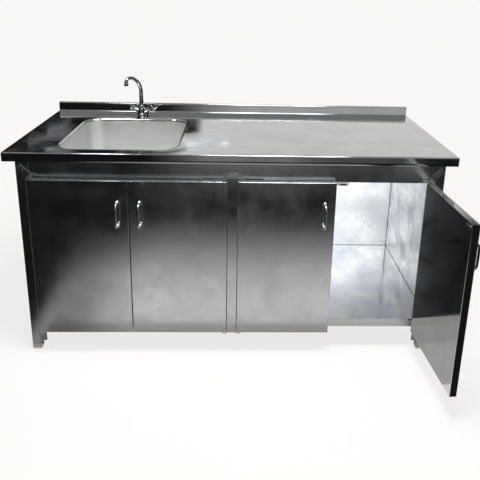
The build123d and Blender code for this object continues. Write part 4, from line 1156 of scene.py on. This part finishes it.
class DressScrews(bpy.types.Operator):
    """Puts a pan head with a cross recess on each fixing screw"""
    bl_idname = "sink_unit.dress_screws"
    bl_label = "Fixing screws"

    def execute(self, context):
        steel = plated_steel("screw_steel", finishes().plated_tint, 0.2)
        places = []
        for low, high in islands("fixing_screws"):
            spot = middle(low, high)
            spot.y = low.y
            places.append((spot, Vector((0, -1, 0))))
        screws = facing_points("fixing_screws_detailed", places)
        recipe = Recipe(
            "pan_head_screws", head_radius=4 * MM, head_height=2.2 * MM, shank_radius=1.95 * MM,
            shank_length=6.0 * MM, recess_width=sizes().recess_width,
            recess_depth=sizes().recess_depth, material=steel,
        )
        named = recipe.named
        radius, height = named["head_radius"], named["head_height"]
        disc = recipe.bar(radius, recipe.times(height, DISC_SHARE), 28)
        disc = recipe.raised(disc, recipe.times(height, DISC_MIDDLE))
        top = recipe.times(radius, DOME_TOP)
        dome = recipe.cone(radius, top, recipe.times(height, DOME_SHARE), 28)
        dome = recipe.raised(dome, recipe.times(height, -DOME_SHARE))
        reach, width = recipe.times(radius, RECESS_REACH), named["recess_width"]
        depth = recipe.times(named["recess_depth"], 2.0)
        cross = [recipe.box(x, y, depth) for x, y in ((reach, width), (width, reach))]
        shank_middle = recipe.maths(
            "SUBTRACT", recipe.times(named["shank_length"], -0.5), height,
        )
        shank = recipe.bar(named["shank_radius"], named["shank_length"], 20)
        shank = recipe.raised(shank, shank_middle)
        many = recipe.facing_out(recipe.join(disc, recipe.carve(dome, *cross), shank))
        spin = recipe.add("FunctionNodeRandomValue", {"data_type": "FLOAT"}, Seed=SPIN_SEED)
        spin.inputs[3].default_value = math.pi / 2
        turn = recipe.vector(z=spin.outputs[1])
        rolled = recipe.add("GeometryNodeRotateInstances", Instances=many, Rotation=turn)
        recipe.finish(rolled.outputs["Instances"])
        recipe.grow(screws)
        hand_over(screws, steel, "unit", "bracket_steel", "fixing_screws")
        return {"FINISHED"}


BOLT_SPAN = 8 * MM
CHAMFER_SLOPE = 1.2
CHAMFER_TOP = 0.97


def hexagon(recipe, height, centre):
    """A hexagon head or nut about this centre, with its outer corners chamfered."""
    corner = recipe.maths("DIVIDE", recipe.named["across_flats"], math.sqrt(3))
    half = recipe.maths("DIVIDE", recipe.named["across_flats"], 2.0)
    prism = recipe.raised(recipe.bar(corner, height, 6), centre)
    low = recipe.plus(half, recipe.times(height, CHAMFER_SLOPE))
    cone = recipe.raised(recipe.cone(low, recipe.times(half, CHAMFER_TOP), height, 36), centre)
    return recipe.carve(None, prism, cone, operation="INTERSECT")


class DressBolts(bpy.types.Operator):
    """Puts chamfered hexagon heads, nuts and shanks where the frame is bolted"""
    bl_idname = "sink_unit.dress_bolts"
    bl_label = "Frame bolts"

    def execute(self, context):
        steel = plated_steel("bolt_steel", finishes().plated_tint, 0.22)
        places = []
        for low, high in islands("frame_bolts"):
            if high.x - low.x < BOLT_SPAN:
                continue
            spot = middle(low, high)
            out = math.copysign(1.0, spot.x)
            spot.x = high.x if out > 0 else low.x
            places.append((spot, Vector((out, 0, 0))))
        bolts = facing_points("frame_bolts_detailed", places)
        recipe = Recipe(
            "hexagon_bolts", across_flats=10 * MM, head_height=4 * MM, grip=6 * MM,
            nut_height=5 * MM, shank_radius=2.95 * MM, shank_end=2 * MM, material=steel,
        )
        named = recipe.named
        head = hexagon(recipe, named["head_height"], recipe.times(named["head_height"], -0.5))
        nut_start = recipe.plus(named["head_height"], named["grip"])
        nut_middle = recipe.plus(nut_start, recipe.times(named["nut_height"], 0.5))
        nut = hexagon(recipe, named["nut_height"], recipe.times(nut_middle, -1.0))
        length_past = recipe.plus(named["grip"], named["nut_height"])
        shank_length = recipe.plus(length_past, named["shank_end"])
        shank_middle = recipe.plus(named["head_height"], recipe.times(shank_length, 0.5))
        shank = recipe.bar(named["shank_radius"], shank_length, 24)
        shank = recipe.raised(shank, recipe.times(shank_middle, -1.0))
        recipe.finish(recipe.facing_out(recipe.join(head, nut, shank)))
        recipe.grow(bolts)
        hand_over(bolts, steel, "unit", "bracket_steel", "frame_bolts")
        return {"FINISHED"}


DOOR_OPEN = math.radians(93.5)
BOW_RADIUS = 5 * MM
BOW_BEND = 18 * MM
BOW_NECK, BOW_SWELL = 0.92, 0.08
FOOT_RADIUS = 8 * MM
FOOT_PROFILE = mm((0, 0), (8, 0), (8, 0.8), (7.5, 1.6), (6.2, 2.6), (5.2, 4.2), (0, 4.2))


def bow_line(out, pitch):
    """(away from the door, up) along the middle of a bow handle, from foot to foot."""
    start = out - BOW_BEND
    turns = [math.radians(6 * step) for step in range(1, 15)]
    line = [(0.0, 0.0), (start, 0.0)]
    line += [(start + BOW_BEND * math.sin(t), BOW_BEND * (1 - math.cos(t))) for t in turns]
    line += [(out, BOW_BEND), (out, pitch * 0.35), (out, pitch * 0.5)]
    return line + [(away, pitch - up) for away, up in reversed(line[:-1])]


def handle_place(node):
    """The middle of the handle's lower foot, and the way out from the door's face there."""
    low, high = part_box(node)
    way = Vector((0.0, -1.0, 0.0))
    foot_height = low.z + FOOT_RADIUS
    if high.x - low.x < high.y - low.y:
        return Vector((middle(low, high).x, high.y, foot_height)), way
    way = Matrix.Rotation(DOOR_OPEN, 3, "Z") @ way
    across = Vector((-way.y, way.x, 0.0))
    points = [vertex.co for vertex in NODES[node].data.vertices]
    nearest = min(point.dot(way) for point in points)
    side = [point.dot(across) for point in points]
    spot = way * nearest + across * ((min(side) + max(side)) / 2)
    return spot + Vector((0, 0, foot_height)), way


class DressHandles(bpy.types.Operator):
    """Bends the chromed bow handles on their round feet"""
    bl_idname = "sink_unit.dress_handles"
    bl_label = "Door handles"

    def execute(self, context):
        chrome = polished_chrome("handle_chrome", finishes().chrome_tint, 0.07)
        for door in DOORS:
            node = f"door_{door}_handle"
            low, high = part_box(node)
            pitch = high.z - low.z - 2 * FOOT_RADIUS
            out = max(high.x - low.x, high.y - low.y) - BOW_RADIUS
            line = bow_line(out, pitch)
            thick = [BOW_RADIUS * (BOW_NECK + BOW_SWELL * min(away / out, 1.0)) for away, _ in line]
            base, way = handle_place(node)
            centres = [base + way * away + Vector((0, 0, up)) for away, up in line]
            turn = way.to_track_quat("Z", "Y").to_matrix().to_4x4()
            shells = [tube(centres, thick, steps=36)]
            for up in (0.0, pitch):
                place = Matrix.Translation(base + Vector((0, 0, up))) @ turn
                shells.append(lathe(FOOT_PROFILE, place, steps=40))
            bow = piece_of(f"door_{door}_bow", *shells)
            hand_over(bow, chrome, f"door_{door}", "handle_chrome", node)
        return {"FINISHED"}


# ---- the tap ----
BRANCH_HEIGHT = 10.5 * MM
GRIP_START = 34.3 * MM
BASE_PROFILE = (
    mm((0, 0), (23, 0)) + arc((20.8 * MM, 2.8 * MM), 2.2 * MM, 0, 90, 6)
    + mm((18.8, 5.6), (17.6, 8), (17.2, 29)) + arc((14.6 * MM, 29.4 * MM), 2.6 * MM, 0, 90, 8)
    + mm((8, 32), (7.98, 41), (7.2, 42), (0, 42))
)
BRANCH_PROFILE = mm(
    (0, 0), (10.6, 0), (10.2, 22), (9.9, 31), (10.3, 31.8), (10.3, 33.4), (9.6, 34), (5, 34),
    (4.98, 45.4), (4.4, 46), (0, 46),
)
GRIP_PROFILE = (
    mm((0, 0), (8.6, 0), (9, 0.4), (9, 6.8), (9.6, 7.8), (11.6, 8.4))
    + arc((11.4 * MM, 9.9 * MM), 1.6 * MM, -70, 0, 5) + mm((14.7, 24.2))
    + arc((12.6 * MM, 24.6 * MM), 2.2 * MM, 0, 80, 8)
    + mm((9.4, 27), (8.6, 26.7), (8.2, 26.2), (7.4, 26.2), (7.0, 26.6), (4.5, 26.95), (0, 27))
)
GRIPS = (("hot", "hot_turn"), ("cold", "cold_turn"))
THREAD_PITCH = 1.5 * MM
THREAD_TURNS = 22
THREAD_CREST = 15.95 * MM
THREAD_ROOT = 15.1 * MM
SHANK_BORE = 12.8 * MM
CAST_GRAIN = 0.55 * MM
CAST_SMOOTHING = 7


def branch_matrix(joint):
    """A place on the tap's axis whose Z runs out along the branch of this joint."""
    axis = Vector(JOINTS[joint]["axis"]).normalized()
    origin = Vector((TAP.x, TAP.y, TAP.z + BRANCH_HEIGHT))
    return Matrix.Translation(origin) @ axis.to_track_quat("Z", "Y").to_matrix().to_4x4()


def shank_profile(bottom):
    """(radius, height) of the threaded tube under the tap, from its lower end round to it."""
    profile = [(15.2 * MM, bottom), (15.9 * MM, bottom + 0.8 * MM)]
    for turn in range(THREAD_TURNS):
        up = bottom + 1.4 * MM + THREAD_PITCH * turn
        profile += [(THREAD_CREST, up), (THREAD_ROOT, up + THREAD_PITCH / 2)]
    profile += [(THREAD_CREST, -5 * MM), (THREAD_CREST, 0.0), (SHANK_BORE, 0.0)]
    return profile + [(SHANK_BORE, bottom), profile[0]]


class DressTap(bpy.types.Operator):
    """Casts the tap's base, column and branches in one chromed piece"""
    bl_idname = "sink_unit.dress_tap"
    bl_label = "Tap body"

    def execute(self, context):
        # Darker chrome tint: painted shade on the tap's body.
        chrome = polished_chrome("tap_chrome", finishes().tap_shaded_tint, 0.05)
        place = Matrix.Translation(TAP)
        branches = [lathe(BRANCH_PROFILE, branch_matrix(joint), steps=72) for _, joint in GRIPS]
        casting = piece_of("tap_casting", lathe(BASE_PROFILE, place, steps=96), *branches)
        blend = casting.modifiers.new("blend", "REMESH")
        blend.mode = "VOXEL"
        blend.voxel_size = CAST_GRAIN
        ease = casting.modifiers.new("ease", "SMOOTH")
        ease.factor = 0.5
        ease.iterations = CAST_SMOOTHING
        settled(casting)
        hand_over(casting, chrome, "unit", "tap_chrome", "tap_body", crease=60.0)

        brass = turned_brass("shank_brass", finishes().brass_tint)
        profile = shank_profile(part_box("tap_body")[0].z - TAP.z)
        shank = piece_of("tap_shank", lathe(profile, place, steps=64))
        hand_over(shank, brass, "unit", "tap_brass", "tap_body")
        paint(turned_brass("tap_brass", finishes().brass_tint), "tap_nut", "tap_inlets")
        paint(dull_rubber("seal_rubber"), "tap_seal")
        return {"FINISHED"}


SPOUT_WAY = Vector((-0.5, -math.sqrt(0.75), 0.0))
COLLAR = (
    (0, 12.9), (0.25, 13.3), (0.8, 13.5), (11.6, 13.5), (12.6, 13.35), (13.4, 12.9), (13.9, 12.2),
    (14.0, 11.4), (14.4, 10.8), (15.6, 10.5),
)
NECK_START = 14 * MM
NECK_RISE = 75.4 * MM
NECK_SWEEP = 86.5 * MM
NECK_CROWN = 20 * MM
NECK_RADIUS = 10.5 * MM
NECK_TAPER = -3.0 * MM


def spout_line():
    """Centres and radii of the swan neck from its collar to its tip."""
    straight = NECK_RISE - NECK_START
    sweep_length = NECK_SWEEP * math.pi / 2
    total = straight + sweep_length + NECK_CROWN * math.pi / 2

    def radius_at(way):
        return NECK_RADIUS + NECK_TAPER * way / total

    line = [(0.0, up * MM, radius * MM) for up, radius in COLLAR]
    for step in range(2, 15):
        up = NECK_START + straight * step / 14
        line.append((0.0, up, radius_at(up - NECK_START)))
    for step in range(1, 41):
        turn = math.pi / 2 * step / 40
        away, up = NECK_SWEEP * (1 - math.cos(turn)), NECK_RISE + NECK_SWEEP * math.sin(turn)
        line.append((away, up, radius_at(straight + NECK_SWEEP * turn)))
    for step in range(1, 21):
        turn = math.pi / 2 * step / 20
        away = NECK_SWEEP + NECK_CROWN * math.sin(turn)
        up = NECK_RISE + NECK_SWEEP - NECK_CROWN * (1 - math.cos(turn))
        line.append((away, up, radius_at(straight + sweep_length + NECK_CROWN * turn)))
    base = Vector((TAP.x, TAP.y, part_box("spout")[0].z))
    centres = [base + SPOUT_WAY * away + Vector((0, 0, up)) for away, up, _ in line]
    return centres, [radius for _, _, radius in line]


NOZZLE_FACE = 4.5 * MM
NOZZLE_HOLE = 0.7 * MM
NOZZLE_ROWS = ((1.9 * MM, 6), (4.2 * MM, 12))


def nozzle_profile(radius, tall):
    """(radius, height) of the nozzle, from its recessed face round its lip to its top."""
    profile = [(0.0, NOZZLE_FACE), (6.2 * MM, NOZZLE_FACE), (6.4 * MM, 0.6 * MM), (6.9 * MM, 0.0)]
    profile += [(radius - 0.9 * MM, 0.0)]
    profile += arc((radius - 0.9 * MM, 0.9 * MM), 0.9 * MM, -90, 0, 5)
    profile += [(radius, tall * 0.42), (radius - 0.5 * MM, tall * 0.45)]
    profile += [(radius - 0.5 * MM, tall * 0.5), (radius - 0.1 * MM, tall * 0.53)]
    profile += [(radius - 0.1 * MM, tall - 1.6 * MM)]
    return profile + arc((radius - 1.6 * MM, tall - 1.5 * MM), 1.5 * MM, 0, 90, 6) + [(0.0, tall)]


class DressSpout(bpy.types.Operator):
    """Bends the tapering swan neck and turns its nozzle"""
    bl_idname = "sink_unit.dress_spout"
    bl_label = "Spout"

    def execute(self, context):
        # Darker chrome tint: painted shade on the spout.
        chrome = polished_chrome("spout_chrome", finishes().tap_shaded_tint, 0.04)
        neck = piece_of("spout_neck", tube(*spout_line(), steps=64))
        hand_over(neck, chrome, "spout", "tap_chrome", "spout", crease=50.0)

        low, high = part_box("aerator")
        profile = nozzle_profile((high.x - low.x) / 2, high.z - low.z)
        nozzle = piece_of("spout_nozzle", lathe(profile, steps=72))
        recipe = Recipe(
            "nozzle_holes", hole_radius=NOZZLE_HOLE, face_height=NOZZLE_FACE, material=chrome,
        )
        hole = recipe.bar(recipe.named["hole_radius"], 2 * MM, 10)
        face = recipe.named["face_height"]
        recipe.drill(nozzle, [
            recipe.circle_of(hole, radius, count, face) for radius, count in NOZZLE_ROWS
        ])
        foot = middle(low, high)
        foot.z = low.z
        nozzle.data.transform(Matrix.Translation(foot))
        hand_over(nozzle, chrome, "spout", "tap_chrome", "aerator")
        return {"FINISHED"}


class DressGrips(bpy.types.Operator):
    """Turns the two tap grips and cuts their flutes"""
    bl_idname = "sink_unit.dress_grips"
    bl_label = "Tap grips"

    def execute(self, context):
        # Darker chrome tint: painted shade on the grips.
        chrome = polished_chrome("grip_chrome", finishes().tap_shaded_tint, 0.05)
        for word, joint in GRIPS:
            grip = piece_of(f"{word}_grip_fluted", lathe(GRIP_PROFILE, steps=96))
            recipe = Recipe(
                f"{word}_grip_flutes", flute_radius=sizes().flute_radius, flutes=sizes().flutes,
                grip_radius=15 * MM, flute_depth=1.6 * MM, material=chrome,
            )
            named = recipe.named
            rim = recipe.plus(named["grip_radius"], named["flute_radius"])
            away = recipe.maths("SUBTRACT", rim, named["flute_depth"])
            rod = recipe.bar(named["flute_radius"], 22 * MM, 32)
            recipe.drill(grip, [recipe.circle_of(rod, away, named["flutes"], 20 * MM)])
            place = branch_matrix(joint) @ Matrix.Translation((0.0, 0.0, GRIP_START))
            grip.data.transform(place)
            hand_over(grip, chrome, f"{word}_handle", "tap_chrome", f"{word}_grip")
        return {"FINISHED"}


# ---- the stage ----
def blank_nodes(owner):
    """The node tree of a world or a material, emptied."""
    owner.use_nodes = True
    owner.node_tree.nodes.clear()
    return Nodes(owner.node_tree)


def seen_by_metal(nodes):
    """1 for the camera and for what metal or glass shows, 0 for the light that falls on things."""
    path = nodes.add("ShaderNodeLightPath")
    total = path.outputs["Is Camera Ray"]
    for label in ("Is Glossy Ray", "Is Transmission Ray"):
        total = nodes.maths("ADD", total, path.outputs[label], use_clamp=True)
    return total


def backdrop_world():
    """A pale world for the camera and for reflections, and an even soft light for the rest."""
    world = bpy.data.worlds.new("studio")
    nodes = blank_nodes(world)
    white = (1.0, 1.0, 1.0, 1.0)
    shown = nodes.add("ShaderNodeBackground", Color=(*studio().backdrop, 1.0))
    lit = nodes.add("ShaderNodeBackground", Color=white, Strength=studio().surroundings)
    ends = (lit.outputs["Background"], shown.outputs["Background"])
    nodes.add("ShaderNodeOutputWorld", Surface=nodes.between(seen_by_metal(nodes), *ends))
    bpy.context.scene.world = world


FLOOR_SHOWN = 0.82
SHADOW_END = (1.2, 2.6)


def floor_material():
    """A pale floor that keeps part of the object's shadow, and is plain further off."""
    material = bpy.data.materials.new("studio_floor")
    nodes = blank_nodes(material)
    pale = (*studio().backdrop, 1.0)
    matt = nodes.add("ShaderNodeBsdfDiffuse", Color=pale).outputs["BSDF"]
    glow = nodes.add("ShaderNodeEmission", Color=pale).outputs["Emission"]
    away = nodes.add("ShaderNodeVectorMath", {"operation": "LENGTH"})
    nodes.feed(away.inputs[0], nodes.add("ShaderNodeTexCoord").outputs["Object"])
    plain = nodes.add(
        "ShaderNodeMapRange", {"interpolation_type": "SMOOTHSTEP"}, Value=away.outputs["Value"],
        From_Min=SHADOW_END[0], From_Max=SHADOW_END[1], To_Min=FLOOR_SHOWN, To_Max=1.0,
    )
    glowing = nodes.times(seen_by_metal(nodes), plain.outputs["Result"])
    nodes.add("ShaderNodeOutputMaterial", Surface=nodes.between(glowing, matt, glow))
    return material


def staged(name, points, faces):
    """A piece of the stage."""
    mesh = bpy.data.meshes.new(name)
    mesh.from_pydata([tuple(point) for point in points], [], faces)
    piece = new_piece(name, mesh)
    return piece


def ramp(value, start, end):
    """0 at the start, 1 at the end, eased at both."""
    way = min(max((value - start) / (end - start), 0.0), 1.0)
    return way * way * (3.0 - 2.0 * way)


# Cards of painted reflection: dark sheets that stand in for the dark room and for the shade under
# the unit, seen only in reflections.
PAINTED_REFLECTION_WEIGHT = "cloth_weight"
PAINTED_REFLECTION_GLOW = 0.012
PAINTED_REFLECTION_BLUE = (1.0, 1.03, 1.08)


def painted_reflection_card(name, corner, across, up, weight_at, cells, glow=PAINTED_REFLECTION_GLOW):
    """A card of painted reflection beside the set that only reflections show, as dense as
    weight_at(place) says: painted shade at a low glow, painted light at a high one.
    """
    points = []
    for row in range(cells + 1):
        for column in range(cells + 1):
            start = Vector(corner) + Vector(across) * column / cells
            points.append(start + Vector(up) * row / cells)
    card = staged(name, points, grid_faces(cells + 1, cells + 1))
    weights = card.data.attributes.new(PAINTED_REFLECTION_WEIGHT, "FLOAT", "POINT")
    weights.data.foreach_set("value", [weight_at(point) for point in points])
    card.visible_camera = False
    card.visible_diffuse = False
    card.visible_shadow = False
    card.visible_transmission = False
    material = bpy.data.materials.new(name)
    nodes = blank_nodes(material)
    clear = nodes.add("ShaderNodeBsdfTransparent").outputs["BSDF"]
    tint = tuple(glow * channel for channel in PAINTED_REFLECTION_BLUE)
    dark = nodes.add("ShaderNodeEmission", Color=(*tint, 1.0)).outputs["Emission"]
    weight = nodes.add("ShaderNodeAttribute", {"attribute_name": PAINTED_REFLECTION_WEIGHT}).outputs["Fac"]
    nodes.add("ShaderNodeOutputMaterial", Surface=nodes.between(weight, clear, dark))
    card.data.materials.append(material)


# Where the painted dark reflections on the floor, at the back and behind the camera grow dense:
# from, to.
DOORS_LEFT = (-0.40, -0.95)
DOORS_RIGHT = (0.84, 1.0)
FIRST_DOOR = (-0.42, -0.78)
LEFT_END = (-0.84, -0.90)
RIGHT_END = (0.82, 0.87)
PATCH_LEFT = (-0.80, -0.15)
PATCH_RIGHT = (0.95, 0.35)
PATCH_FAR_RIGHT = (2.0, 1.3)
PATCH_AWAY = (2.2, 2.55)
FIRST_DOOR_WEIGHT = 0.62
PATCH_WEIGHT = 0.36
EDGE_X, EDGE_LEAN, EDGE_FOOT = -0.43, 4.0, 1.97
LEFT_RISE = (1.1, 1.5)
LOW_BAND = (1.45, 1.2)
HIGH_BAND = (2.6, 2.9)
HIGH_FADE = (3.0, 4.0)
CAMERA_LEFT = (-1.3, 0.3)


def painted_floor_reflection(place):
    """Painted shade in reflections: dark from a step in front of the unit, and lighter again far
    out before its middle.
    """
    x, away = place.x, FRONT - place.y
    left, right = ramp(x, *DOORS_LEFT), ramp(x, *DOORS_RIGHT)
    start = 0.35 - 0.75 * left - 0.35 * right
    full = 1.45 - 0.25 * left - 1.25 * right
    by_door = FIRST_DOOR_WEIGHT * ramp(x, *FIRST_DOOR)
    ends = max(ramp(x, *LEFT_END), ramp(x, *RIGHT_END))
    near = max(ramp(away, start, full), by_door, ends)
    to_right = 0.35 * ramp(x, *PATCH_FAR_RIGHT) + 0.65 * ramp(x, *PATCH_RIGHT)
    patch = ramp(x, *PATCH_LEFT) * to_right * ramp(away, *PATCH_AWAY)
    return near * (1 - PATCH_WEIGHT * patch)


def painted_back_reflection(place):
    """Painted shade in reflections: dark low down, high up, and behind the unit's left end, which
    the worktop mirrors.
    """
    edge = EDGE_X - EDGE_LEAN * max(place.z - EDGE_FOOT, 0.0)
    left = ramp(place.x, edge + 0.05, edge - 0.09) * ramp(place.z, *LEFT_RISE)
    high = ramp(place.z, *HIGH_BAND) * (1.0 - 0.5 * ramp(place.z, *HIGH_FADE))
    return max(left, ramp(place.z, *LOW_BAND), high)


def painted_front_reflection(place):
    """Painted shade in reflections: dark behind the camera, and thin towards the right."""
    return 1.0 - 0.72 * ramp(place.x, *CAMERA_LEFT)


def even_painted_reflection(place):
    return 1.0


def half_painted_reflection(place):
    return 0.5


BACK = FRONT + 4.2
NEAR = BACK - 0.05
FAR = 40.0
# Name, lower corner, across, up, how dense, how many cells each way, and the painted light strips'
# glow.
# Painted reflections: dark cards for the dark room round the set and for the shade on the floor by
# and under the unit.
PAINTED_REFLECTIONS = (
    ("cloth_on_floor", (-5.0, FRONT - 5.0, 0.004), (10, 0, 0), (0, 5, 0), painted_floor_reflection, 160),
    # Painted shade: the floor's shadow by the doors and under the unit, as the doors and the shelf
    # mirror it.
    ("cloth_by_doors", (-0.84, FRONT - 0.215, 0.006), (1.8, 0, 0), (0, 0.216, 0), half_painted_reflection, 2),
    ("cloth_under_unit", (-0.9, FRONT, 0.006), (1.8, 0, 0), (0, 0.8, 0), half_painted_reflection, 2),
    ("cloth_behind_camera", (-6, FRONT - 6.0, 0), (12, 0, 0), (0, 0, 3.4), painted_front_reflection, 60),
    ("cloth_back_left", (-8, BACK, 0.05), (8, 0, 0), (0, 0, 4.4), painted_back_reflection, 200),
    ("cloth_back_right", (0, BACK, 0.05), (8, 0, 0), (0, 0, 4.4), painted_back_reflection, 80),
    # Painted light: strips that glow and are seen only in reflections, standing in for light from
    # the room behind.
    ("strip_upper", (-2.18, NEAR, 1.955), (0.30, 0, -0.06), (0, 0, 0.06), even_painted_reflection, 2, 0.40),
    ("strip_lower", (-2.42, NEAR, 2.075), (0.48, 0, -0.05), (0, 0, 0.05), even_painted_reflection, 2, 0.45),
    ("strip_corner", (-0.64, NEAR, 2.07), (0.56, 0, -0.03), (0, 0, 0.04), even_painted_reflection, 2, 1.6),
    ("cloth_left", (-4.2, FRONT - 6.0, 0), (0, 10, 0), (0, 0, 4), even_painted_reflection, 2),
    ("cloth_right", (5.5, FRONT - 6.0, 0), (0, 10, 0), (0, 0, 4), even_painted_reflection, 2),
    ("cloth_overhead", (-3.5, -4.5, 3.3), (7, 0, 0), (0, 7.5, 0), half_painted_reflection, 2),
)


# Name, place, target, width and height, the value that holds its watts, and its spread.
SOFT_BOXES = (
    ("overhead", (0.3, -0.6, 2.9), (0.0, 0.1, 0.6), (1.1, 0.7), "top_light", 180),
    ("over_bowl", (BOWL.x - 0.32, BOWL.y - 0.25, 2.1), BOWL, (0.3, 0.3), "bowl_light", 50),
    ("into_cabinet", (0.58, FRONT + 0.10, 0.52), (0.62, FRONT + 0.73, 0.50), (0.56, 0.66),
     "inside_light", 180),
)


def soft_box(name, place, target, size, watts, spread):
    lamp = bpy.data.lights.new(name, "AREA")
    lamp.shape = "RECTANGLE"
    lamp.size, lamp.size_y = size
    lamp.energy = getattr(studio(), watts)
    lamp.spread = math.radians(spread)
    box = bpy.data.objects.new(name, lamp)
    box.location = place
    box.rotation_mode = "QUATERNION"
    box.rotation_quaternion = (Vector(target) - Vector(place)).to_track_quat("-Z", "Y")
    bpy.context.scene.collection.objects.link(box)


def place_camera():
    """The camera at the photograph's place, turned by yaw, pitch and roll."""
    view = studio()
    yaw, pitch, roll = view.camera_yaw, view.camera_pitch, view.camera_roll
    level = Vector((math.sin(yaw), math.cos(yaw), 0.0))
    ahead = level * math.cos(pitch) - Vector((0.0, 0.0, math.sin(pitch)))
    right = Vector((math.cos(yaw), -math.sin(yaw), 0.0))
    down = ahead.cross(right)
    across = right * math.cos(roll) + down * math.sin(roll)
    fall = down * math.cos(roll) - right * math.sin(roll)
    data = bpy.data.cameras.new("camera")
    data.sensor_width = 36.0
    data.lens = view.camera_lens
    data.shift_x, data.shift_y = view.camera_shift
    data.clip_end = 200.0
    camera = bpy.data.objects.new("camera", data)
    turn = Matrix((across, -fall, -ahead)).transposed().to_4x4()
    camera.matrix_world = Matrix.Translation(view.camera_place) @ turn
    bpy.context.scene.collection.objects.link(camera)
    bpy.context.scene.camera = camera


class SetStage(bpy.types.Operator):
    """Sets the pale floor, the soft light, the painted dark reflections and light strips, and the
    camera
    """
    bl_idname = "sink_unit.set_stage"
    bl_label = "Stage"

    def execute(self, context):
        context.scene.view_settings.view_transform = "Standard"
        backdrop_world()
        corners = [(-FAR, -FAR, 0), (FAR, -FAR, 0), (FAR, FAR, 0), (-FAR, FAR, 0)]
        floor = staged("studio_floor", corners, [(0, 1, 2, 3)])
        floor.data.materials.append(floor_material())
        # Painted reflections: dark cards and light strips that only reflections show.
        for row in PAINTED_REFLECTIONS:
            painted_reflection_card(*row)
        for row in SOFT_BOXES:
            soft_box(*row)
        place_camera()
        return {"FINISHED"}


# ---- the panel ----
OPERATORS = (
    DressWorktop, DressBowl, DressWaste, DressBasket, DressFrame, DressDoors, DressCatches,
    DressScrews, DressBolts, DressHandles, DressTap, DressSpout, DressGrips, SetStage,
)
GROUPS = {
    "sink_unit_finishes": SinkUnitFinishes,
    "sink_unit_sizes": SinkUnitSizes,
    "sink_unit_studio": SinkUnitStudio,
}


class SinkUnitPanel(bpy.types.Panel):
    """Lists the pieces of the sink unit and what can be set on them"""
    bl_idname = "VIEW3D_PT_sink_unit"
    bl_label = "Sink Unit"
    bl_space_type = "VIEW_3D"
    bl_region_type = "UI"
    bl_category = "Sink Unit"

    def draw(self, context):
        for operator in OPERATORS:
            self.layout.operator(operator.bl_idname)
        for name, group in GROUPS.items():
            box = self.layout.box()
            for prop in group.__annotations__:
                box.prop(getattr(context.scene, name), prop)


def register():
    for kind in (*GROUPS.values(), *OPERATORS, SinkUnitPanel):
        bpy.utils.register_class(kind)
    for name, group in GROUPS.items():
        setattr(bpy.types.Scene, name, bpy.props.PointerProperty(type=group))


def unregister():
    for name in GROUPS:
        delattr(bpy.types.Scene, name)
    for kind in reversed((*GROUPS.values(), *OPERATORS, SinkUnitPanel)):
        bpy.utils.unregister_class(kind)


def main():
    """Dresses the whole unit."""
    register()
    for operator in OPERATORS:
        area, name = operator.bl_idname.split(".")
        getattr(getattr(bpy.ops, area), name)()


if __name__ == "__main__":
    main()
